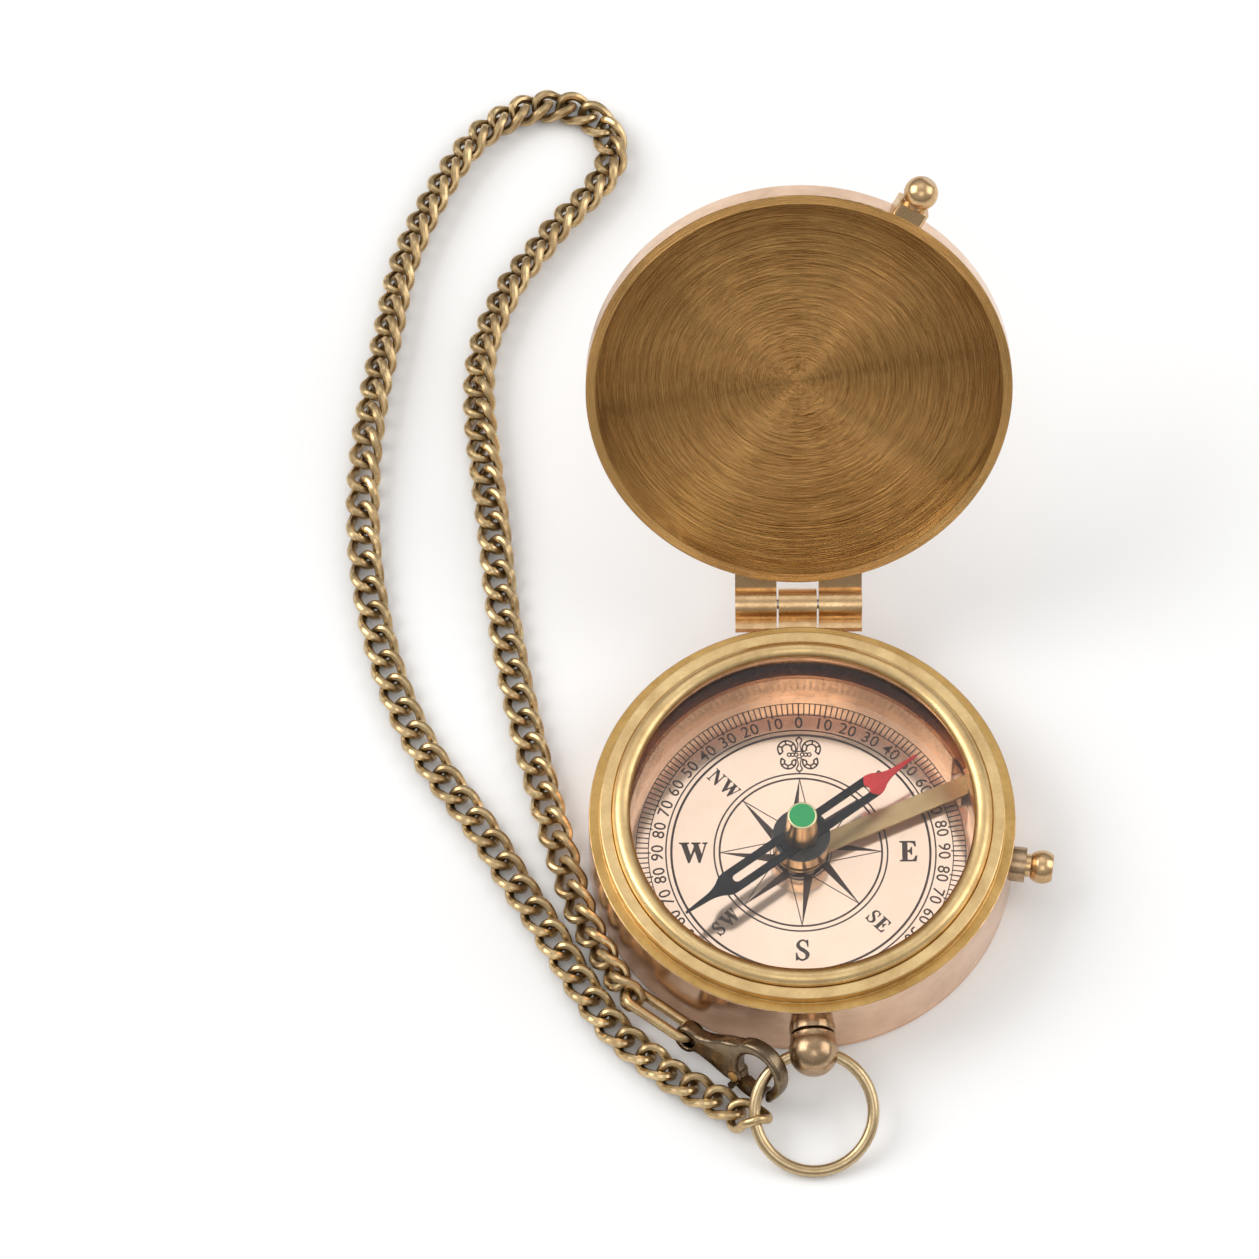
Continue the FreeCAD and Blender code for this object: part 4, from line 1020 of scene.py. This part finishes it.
@dataclass
class Needle:
    """Magnet needle with its disc, hub and cap."""
    azimuth: float = 36.4
    red_from: float = 9.6
    hub_level: float = 2.9
    disc_level: float = 5.3
    blade_level: float = 5.8
    cap_top: float = 11.1
    bore: float = 1.62
    disc: float = 3.4
    hub: float = 3.3
    hub_chamfer: float = 0.25
    rim: float = 0.15
    cap: Sequence[Point2] = ((1.15, 2.9), (1.6, 2.9), (1.6, 6.1), (2.03, 6.1), (2.0, 6.35), (1.74, 10.98),
                             (1.62, 11.1), (1.52, 11.1), (1.52, 10.85), (0, 10.85), (0, 10.32), (1.15, 10.32))
    spear: Sequence[tuple] = ((17.0, 0.12), (15.2, 0.28, SMOOTH), (13.1, 0.5, SMOOTH), (12.1, 0.85, SMOOTH),
                              (11.3, 1.32, SMOOTH), (10.6, 1.5), (2.2, 1.5))
    slot: Point2 = (2.9, 9.48)
    slot_half: float = 0.525
    thick: float = 0.3
    rounding: float = 0.05

    def build(self, finishes: Finishes) -> None:
        """Builds the needle's pieces.

        Args:
            finishes: the materials.
        """
        self._blade(finishes)
        low, middle, high = self.hub_level, self.disc_level, self.blade_level
        disc = lathe([(self.bore, middle), (self.disc, middle), (self.disc, high), (self.bore, high)])
        finish_mesh("disc_black", disc, finishes["needle_disc_black"], "needle", "needle_disc", bevel=0.08)
        hub = lathe([(self.bore, low), (self.hub - self.hub_chamfer, low), (self.hub, low + self.hub_chamfer),
                     (self.hub, middle), (self.bore, middle)])
        finish_mesh("hub", hub, finishes["hub_brass"], "needle", "needle_hub", bevel=0.07)
        piece = finish_mesh("cap", lathe(self.cap), finishes["hub_brass"], "needle", "needle_cap", bevel=0.03)
        refinish(piece, finishes["rim_brass"], lambda spot: spot.z > self.cap_top - self.rim)
        recolour(finishes, cap_inlay="inlay_green", pivot_jewel="jewel_ruby")

    def _blade(self, finishes: Finishes) -> None:
        """Blade with two slotted arms and spear heads."""
        upper = [*self.spear, *((-x, *rest) for x, *rest in reversed(self.spear))]
        outline = upper + [(x, -y, *smooth) for x, y, *smooth in reversed(upper)]
        (near, far), wide = self.slot, self.slot_half
        slot = [(near, -wide), (far, -wide), *smooth_arc((far, 0), wide, -60, 60, 4), (far, wide), (near, wide)]
        slots = [[(side * x, side * y, *smooth) for x, y, *smooth in slot] for side in (-1, 1)]
        place = moved(z=self.blade_level + self.thick / 2) @ turned_z(self.azimuth)
        mesh = outline_mesh([outline, *slots], self.thick, self.rounding, place)
        dress("blade", mesh, finishes["needle_blued_red"], "needle", "needle_blade")


@dataclass
class Lock:
    """Lever under the needle, its bracket and spring, and the button in the wall."""
    azimuth: float = -8.0
    level: float = 5.0
    shaft: Sequence[Point2] = ((0, 20.4), (1.35, 20.4), (1.35, 20.95), (1.15, 20.95), (1.15, 21.95), (1.35, 22.55),
                               (1.35, 27.2))
    head: Point2 = (0, 28.5)
    head_radius: float = 1.97
    crown: Sequence[Point2] = ((1.2, 29.74), (0, 29.8))
    spring_radius: float = 21.4
    spring_wire: float = 0.15
    spring_levels: Point2 = (1.45, 3.25)
    spring_bend: Point2 = (6.0, -3.0)

    def build(self, finishes: Finishes) -> None:
        """Dresses the lock's pieces.

        Args:
            finishes: the materials.
        """
        recolour(finishes, lifter_lever="lever_brass", lever_bracket="ring_brass", lever_pin="pin_steel")
        self._spring(finishes["pin_steel"])
        profile = [*self.shaft, *arc(self.head, self.head_radius, -42, 40, 14), *self.crown]
        finish_mesh("button", lathe(profile), finishes["knob_brass"], "button", "lock_button",
                    outward(self.azimuth, self.level), bevel=0.06)

    def _spring(self, material: bpy.types.Material) -> None:
        """Bent wire from the dial ring up to the lever's tail, which it follows.

        Args:
            material: its finish.
        """
        (low, high), (foot, top) = self.spring_levels, self.spring_bend
        spots = []
        for azimuth in range(13, -9, -1):
            share = min(1.0, max(0.0, (foot - azimuth) / (foot - top)))
            spots.append(polar(self.spring_radius, azimuth, low + (high - low) * share * share * (3 - 2 * share)))
        piece = dress("spring", wire_mesh(spots, self.spring_wire, closed=False), material, "", "lever_spring")
        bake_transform(piece)


@dataclass
class Lid:
    """Lid shell and knob, and its knuckles and collar."""
    radius: float = 25.0
    base: float = 10.7
    height: float = 3.5
    floor: float = 0.7
    wall: float = 1.15
    corner: float = 0.6
    inner_corner: float = 0.25
    rim_gap: float = 0.04
    hinge_y: float = 27.9
    hinge_z: float = 10.9
    open_angle: float = 126.7
    knob_azimuth: float = -60.0
    knob_foot: float = 1.85
    knob_neck: float = 1.5
    knob_radius: float = 2.0
    knob_rise: float = 1.323
    knob_top: float = 1.78
    steps: int = 256

    def build(self, finishes: Finishes) -> None:
        """Builds the lid's pieces.

        Args:
            finishes: the materials.
        """
        top, rim = self.base + self.height, self.base + self.rim_gap
        inner, ceiling = self.radius - self.wall, top - self.floor
        profile = [(inner, rim), (self.radius, rim), (self.radius, top - self.corner)]
        profile += arc((self.radius - self.corner, top - self.corner), self.corner, 15, 90, 5)
        profile += [(0, top), (0, ceiling)]
        profile += [(inner - self.inner_corner, ceiling), (inner, ceiling - self.inner_corner)]
        piece = finish_mesh("lid", lathe(profile, self.steps), finishes["lid_brass"], "lid", "lid_shell", lid_open(),
                            bevel=0.1, segments=3)
        closed = lid_open().inverted()
        closed.translation /= MM

        def outside(centre: Vector) -> bool:
            """Whether a face is on the lid's outer side or its rounded corner."""
            spot = closed @ centre
            outer = spot.xy.length > self.radius - 0.05 or spot.z > top - 0.3
            return outer and spot.z > rim + 0.02

        refinish(piece, finishes["case_side_brass"], outside)
        recolour(finishes, lid_knuckles="knob_brass", lid_knob_collar="knob_brass")
        foot = self.radius + self.knob_foot
        centre = foot + self.knob_rise
        profile = [(0, foot), (self.knob_neck, foot), *arc((0, centre), self.knob_radius, -38, 62, 16),
                   (0, centre + self.knob_top)]
        place = lid_open() @ outward(self.knob_azimuth, self.base + self.height / 2)
        finish_mesh("knob", lathe(profile), finishes["knob_brass"], "lid", "lid_knob", place, bevel=0.05)


@dataclass
class Bow:
    """Ball post and the wire ring in it."""
    azimuth: float = -88.1
    level: float = 6.5
    reach: float = 28.07
    ring: float = 6.9
    wire: float = 0.7
    tilt: float = 24.17
    ring_points: int = 120
    foot: Sequence[Point2] = ((0, 24.3), (2.67, 24.3), (2.67, 25.75))
    groove: Sequence[Point2] = ((2.2, 25.95), (2.2, 26.05), (2.55, 26.12), (2.67, 26.24), (2.67, 26.95))
    ball: float = 2.9
    crown: Sequence[Point2] = ((1.2, 30.68), (0, 30.72))

    def build(self, finishes: Finishes) -> None:
        """Builds the bow's pieces.

        Args:
            finishes: the materials.
        """
        profile = [*self.foot, *arc((2.55, 25.75), 0.12, 0, 90, 3), *self.groove,
                   *arc((0, self.reach), self.ball, -21, 62, 18), *self.crown]
        finish_mesh("ball_post", lathe(profile, 128), finishes["post_bronze"], "case", "bow_post",
                    outward(self.azimuth, self.level), bevel=0.04)
        points = [self.on_ring(step * 360 / self.ring_points) for step in range(self.ring_points)]
        dress("bow_ring_wire", wire_mesh(points, self.wire, sides=8), finishes["bow_wire_brass"], "bow", "bow_ring")

    def on_ring(self, angle: float) -> Vector:
        """Point on the ring's centreline at an angle from the ball towards -X, in metres."""
        drop = math.radians(self.tilt)
        turn = math.radians(angle)
        ball = polar(self.reach, self.azimuth, self.level)
        out = Vector((0, -math.cos(drop), -math.sin(drop)))
        return ball + (out * (1 - math.cos(turn)) + Vector((-math.sin(turn), 0, 0))) * self.ring * MM


@dataclass(frozen=True)
class Loop:
    """A single link that lies in its own place."""
    name: str
    body: str
    node: str
    wire: float
    centre: Point3
    heading: float
    pitch: float
    roll: float

    def build(self, line: Sequence[Vector], material: bpy.types.Material) -> bpy.types.Object:
        """Sets a closed line along X in its place and makes the piece.

        Args:
            line: the wire's centreline.
            material: its finish.

        Returns:
            The piece.
        """
        turn = aligned(heading_vector(self.heading, self.pitch)) @ Matrix.Rotation(math.radians(self.roll), 4, "X")
        points = [(Vector(self.centre) + turn @ spot) * MM for spot in line]
        return dress(self.name, wire_mesh(points, self.wire), material, self.body, self.node)


@dataclass
class Chain:
    """Curb chain, its end link and the long ring at the clasp."""
    wire: float = 0.55
    length: float = 5.7
    width: float = 4.2
    twist: float = -1.9
    flat: float = 0.31
    floor_gap: float = 0.06
    long_size: Point3 = (10.2, 4.0, 0.6)
    long_ring: Loop = Loop("long_ring", "case", "jump_ring", 0.6, (-16.826, -21.708, 3.125), -36.271, -0.775, -29.79)
    end_size: Point3 = (6.2, 4.4, -2.1)
    end_link: Loop = Loop("end_link", "bow", "chain_end_link", 0.55, (-6.78, -34.58, 2.86), -23.89, 30.87, -11.59)
    half_step_m: float = 0.0002
    blend_start_m: Point3 = (-0.0145, -0.0288, 0.0019)
    blend_end_m: Point3 = (-0.0095, -0.0315, 0.0021)
    route: Sequence[Point2] = (
        (-6.94, -34.15), (-9.8, -32.5), (-12.4, -30.9), (-15.2, -29.15), (-18.5, -26.25), (-21.8, -23.35),
        (-24.9, -18.9), (-27.8, -13.9), (-30.5, -8.9), (-33.7, -3.9), (-36.5, 1.4), (-39.8, 6.4), (-43.4, 11.4),
        (-46.5, 17.3), (-49.2, 24.7), (-51.2, 33.6), (-52.2, 43.0), (-52.0, 52.6), (-50.9, 61.3),
        (-49.2, 69.9), (-47.8, 78.5), (-45.2, 85.5), (-42.0, 92.0), (-39.0, 96.6), (-35.8, 99.6),
        (-31.4, 101.9), (-26.4, 101.9), (-22.2, 98.6), (-21.6, 93.3), (-24.6, 88.8), (-28.3, 84.9),
        (-31.0, 81.0), (-33.6, 77.6), (-36.0, 72.6), (-38.0, 66.6), (-38.2, 59.0), (-37.3, 51.1),
        (-36.3, 42.9), (-35.5, 33.5), (-34.1, 24.3), (-32.2, 15.0), (-30.0, 6.1), (-27.8, -2.3),
        (-25.75, -9.1), (-22.85, -14.8), (-21.3, -17.6), (-19.1, -20.65),
    )
    pitches: Sequence[Point2] = (
        (0, 3.15), (0.1, 3.4), (0.2, 3.4), (0.34, 3.35), (0.39, 2.97), (0.48, 2.97), (0.57, 2.9), (0.62, 2.97),
        (0.74, 2.97), (0.8, 3.35), (0.93, 3.4), (1, 3.1),
    )
    rolls: Sequence[Point2] = (
        (0, -10.0), (0.07, 0), (0.28, 0), (0.38, 40.0), (0.5, 40.0), (0.6, -40.0), (0.7, -40.0), (0.8, 0),
        (0.86, 0), (0.94, -40.0), (1, -88.0),
    )
    lifts: Sequence[Point2] = ((0, 0.55), (0.04, 0.1), (0.06, 0), (0.93, 0), (0.97, 0.4), (1, 0.9))

    def build(self, finishes: Finishes) -> None:
        """Builds the chain, the end link and the long ring.

        Args:
            finishes: the materials.
        """
        material = finishes["chain_brass"]
        ring = self.long_ring.build(self.oval(*self.long_size), material)
        end = self.end_link.build(self.link(*self.end_size), material)
        self._links(material)

    def oval(self, length: float, width: float, wire: float) -> list[Vector]:
        """Centreline of an oval ring along X.

        Args:
            length: outer length.
            width: outer width.
            wire: the wire's radius.

        Returns:
            Points of the closed line.
        """
        bend = width / 2 - wire
        run = length / 2 - wire - bend
        return [Vector((x, y, 0)) for x, y in arc((run, 0), bend, -90, 90, 14) + arc((-run, 0), bend, 90, 270, 14)]

    def link(self, length: float, width: float, twist: float) -> list[Vector]:
        """Centreline of a twisted link along X.

        Args:
            length: outer length.
            width: outer width.
            twist: how far the link is wrung, its sign the hand.

        Returns:
            Points of the closed line.
        """
        half, side = length / 2 - self.wire, width / 2 - self.wire
        spots = []
        for turn in (2 * math.pi * step / 40 for step in range(40)):
            wring = math.sin(2 * turn)
            rise = twist / 2 * wring * (1 - self.flat * wring * wring)
            spots.append(Vector((half * math.cos(turn), side * math.sin(turn), rise)))
        return spots

    def level(self, points: Sequence[Vector], roll: float) -> float:
        """Height of a rolled link's centre when its wire just clears the floor."""
        s, c = math.sin(math.radians(roll)), math.cos(math.radians(roll))
        return max(abs(spot.y * s + spot.z * c) for spot in points) + self.wire + self.floor_gap

    def centres(self, length: float) -> list[float]:
        """Shares of the route where the links' centres lie, at the stated pitches.

        Args:
            length: the route's length.

        Returns:
            One share for each link.
        """
        shares = [(self.length / 2 + (length - self.length) * step / 720) / length for step in range(721)]
        laid = [0.0]
        for first, second in zip(shares, shares[1:]):
            laid.append(laid[-1] + (second - first) * length / value_at(self.pitches, (first + second) / 2))
        count = round(laid[-1])
        return [value_at(list(zip(laid, shares)), laid[-1] * number / count) for number in range(count + 1)]

    def line(self) -> list[Vector]:
        """Points of the route's smooth curve, in metres, read from its NURBS spline."""
        curve = bpy.data.curves.new("chain_route", "CURVE")
        curve.dimensions = "3D"
        spline = curve.splines.new("NURBS")
        spline.points.add(len(self.route) - 1)
        for knot, (x, y) in zip(spline.points, self.route):
            knot.co = (x * MM, y * MM, 0.0, 1.0)
        spline.order_u = 3
        spline.use_endpoint_u = True
        spline.resolution_u = 24
        mesh = curve_mesh(curve)
        points = [vert.co.copy() for vert in mesh.vertices]
        bpy.data.meshes.remove(mesh)
        return points

    def _links(self, material: bpy.types.Material) -> None:
        """Args:
            material: the links' finish.
        """
        line = self.line()
        lengths = [0.0]
        for first, second in zip(line, line[1:]):
            lengths.append(lengths[-1] + (second - first).length)
        total = lengths[-1]

        def at(distance: float) -> Vector:
            """Point of the route at a distance along it."""
            index = max(i for i, value in enumerate(lengths[:-1]) if value <= distance or i == 0)
            span = lengths[index + 1] - lengths[index]
            return line[index].lerp(line[index + 1], (distance - lengths[index]) / span)

        points = self.link(self.length, self.width, self.twist)
        source = wire_mesh([spot * MM for spot in points], self.wire, sides=3)
        bm = bmesh.new()
        path = []
        for share in self.centres(total / MM):
            place = share * total
            roll = value_at(self.rolls, share)
            spot = at(place) + Vector((0, 0, (self.level(points, roll) + value_at(self.lifts, share)) * MM))
            back = at(place - self.half_step_m) - at(place + self.half_step_m)
            turn = aligned(back) @ Matrix.Rotation(math.radians(roll), 4, "X")
            before = len(bm.verts)
            bm.from_mesh(source)
            bm.verts.ensure_lookup_table()
            bmesh.ops.transform(bm, matrix=Matrix.Translation(spot) @ turn, verts=bm.verts[before:])
            path.append(spot)
        bpy.data.meshes.remove(source)
        piece = finish_mesh("curb_chain", bm, material, "", "chain_links")
        ends = [spot + (spot - inward).normalized() * self.length * MM / 2
                for spot, inward in ((path[0], path[1]), (path[-1], path[-2]))]
        path = [ends[0], *path, ends[1]]
        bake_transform(piece)


def value_at(pairs: Sequence[Point2], share: float) -> float:
    """Value at a share of the chain's length, straight between the stated shares."""
    for (start, first), (end, last) in zip(pairs, pairs[1:]):
        if share <= end:
            return first + (last - first) * (share - start) / (end - start)
    return pairs[-1][1]


@dataclass
class Clasp:
    """Lobster clasp: body with eye and hook, gate, rivet and spring."""
    centre: Point3 = (-5.629, -29.679, 5.225)
    heading: float = -34.43
    rise: float = 13.69
    lean: float = -68.35
    hook: float = 4.0
    mouth: float = 2.6
    mouth_at: Point2 = (0.3, 0)
    eye_at: Point2 = (-9.6, 0)
    eye: float = 1.72
    eye_hole: float = 1.05
    neck: Sequence[tuple] = ((-4.6, 2.45, SMOOTH), (-6.6, 1.6, SMOOTH), (-8.4, 1.35, SMOOTH))
    belly: Sequence[tuple] = ((-8.4, -1.35, SMOOTH), (-6.6, -1.7, SMOOTH), (-4.9, -2.35, SMOOTH),
                              (-3.55, -2.75, SMOOTH), (-2.85, -2.72), (-1.6, -2.0))
    thick: float = 2.0
    rounding: float = 0.5

    def place(self) -> Matrix:
        """Transform from the clasp's plane to the object."""
        h, b = math.radians(self.heading), math.radians(self.lean)
        along = heading_vector(self.heading, self.rise)
        flat = Vector((-math.sin(h), math.cos(h), 0))
        up = along.cross(flat)
        across, normal = flat * math.cos(b) - up * math.sin(b), up * math.cos(b) + flat * math.sin(b)
        return moved(*self.centre) @ axes_matrix(along, across, normal)

    def build(self, finishes: Finishes) -> None:
        """Builds the clasp's pieces.

        Args:
            finishes: the materials.
        """
        outline = [*smooth_arc((0, 0), self.hook, -58, 128, 12), *self.neck,
                   *smooth_arc(self.eye_at, self.eye, 60, 300, 6), *self.belly,
                   *smooth_arc(self.mouth_at, self.mouth, 222, -52, 16)]
        hole = circle_outline(self.eye_hole, self.eye_at)
        mesh = outline_mesh([outline, hole], self.thick, self.rounding, self.place())
        dress("clasp_hook", mesh, finishes["clasp_bronze"], "clasp", "clasp_body", sharp=50)
        recolour(finishes, clasp_gate="clasp_bronze", clasp_rivet="chain_brass", clasp_spring="pin_steel")


@dataclass(frozen=True)
class Lamp:
    """A square area lamp that looks at the compass."""
    name: str
    spot_m: Point3
    size_m: float
    power: float

    def build(self) -> None:
        """Adds the lamp."""
        data = bpy.data.lights.new(self.name, "AREA")
        data.size = self.size_m
        data.energy = self.power
        lamp = linked(self.name, data)
        lamp.location = self.spot_m
        aim = Vector((0, 0.02, 0)) - Vector(self.spot_m)
        lamp.rotation_euler = aim.to_track_quat("-Z", "Y").to_euler()


@dataclass
class Studio:
    """Camera, lamps, world and floor."""
    focal_px: float = 8000.0
    image_px: float = 1259.0
    sensor: float = 36.0
    elevation: float = 63.46
    roll: float = -0.42
    distance_m: float = 0.9595
    target_m: Point2 = (-0.02005, 0.03012)
    greys: Sequence[Point2] = ((0.0, 0.30), (0.22, 0.32), (0.6, 0.78), (1.0, 0.90))
    world_power: float = 0.68
    lamps: Sequence[Lamp] = (
        Lamp("key", (-0.95, 0.25, 0.85), 0.9, 8.5), Lamp("fill", (1.0, 0.1, 0.7), 0.9, 5.0),
        Lamp("top", (0.0, 0.49, 0.98), 0.7, 0.75), Lamp("front", (0.0, -0.55, 0.95), 0.5, 0.9))
    floor_m: float = 3.0

    def build(self) -> None:
        """Sets up the whole studio."""
        self._camera()
        self._world()
        for lamp in self.lamps:
            lamp.build()
        self._floor()
        bpy.context.scene.view_settings.view_transform = "Standard"

    def _camera(self) -> None:
        """Long lens at the photograph's angle."""
        data = bpy.data.cameras.new("camera")
        data.sensor_width = self.sensor
        data.lens = self.focal_px / self.image_px * self.sensor
        data.clip_start, data.clip_end = 0.05, 20.0
        camera = linked("camera", data)
        e, k = math.radians(self.elevation), math.radians(self.roll)
        back = Vector((0, -math.cos(e), math.sin(e)))
        right, up = Vector((1, 0, 0)), Vector((0, math.sin(e), math.cos(e)))
        x_axis, y_axis = right * math.cos(k) + up * math.sin(k), up * math.cos(k) - right * math.sin(k)
        spot = Vector((*self.target_m, 0)) + back * self.distance_m
        camera.matrix_world = Matrix.Translation(spot) @ axes_matrix(x_axis, y_axis, back)
        bpy.context.scene.camera = camera

    def _world(self) -> None:
        """Soft white surround that grows darker towards the horizon for metal."""
        world = bpy.data.worlds.new("studio")
        bpy.context.scene.world = world
        world.use_nodes = True
        tree = world.node_tree
        parts = add(tree, "SeparateXYZ", Vector=add(tree, "TexCoord").outputs["Generated"])
        height = add(tree, "MapRange", Value=parts.outputs[2], From_Min=-0.2, From_Max=1.0)
        ramp = add(tree, "ValToRGB", Fac=height.outputs[0])
        elements = ramp.color_ramp.elements
        while len(elements) < len(self.greys):
            elements.new(0.5)
        for element, (position, grey) in zip(elements, self.greys):
            element.position = position
            element.color = (grey, grey, grey, 1.0)
        back = tree.nodes["Background"]
        tree.links.new(ramp.outputs["Color"], back.inputs["Color"])
        back.inputs["Strength"].default_value = self.world_power

    def _floor(self) -> None:
        """Pale floor that keeps the shadows."""
        bm = bmesh.new()
        bmesh.ops.create_grid(bm, x_segments=2, y_segments=2, size=self.floor_m)
        mesh = as_mesh("floor", bm)
        floor = linked("floor", mesh)
        surface = Surface("floor_white")
        grain = add(surface.tree, "TexNoise", Vector=surface.place, Scale=20.0)
        surface.feed("Base Color", mixed(surface.tree, grain.outputs[0], (0.95, 0.95, 0.945), (0.97, 0.97, 0.965)))
        surface.set(Roughness=0.75)
        mesh.materials.append(surface.material)


def main() -> None:
    """Builds the studio and every sub-assembly in order."""
    logging.basicConfig(level=logging.INFO, format="%(name)s %(message)s")
    Studio().build()
    finishes = Finishes()
    for maker in (Chain, Case, Dial, Needle, Lock, Lid, Bow, Clasp):
        maker().build(finishes)


if __name__ == "__main__":
    main()
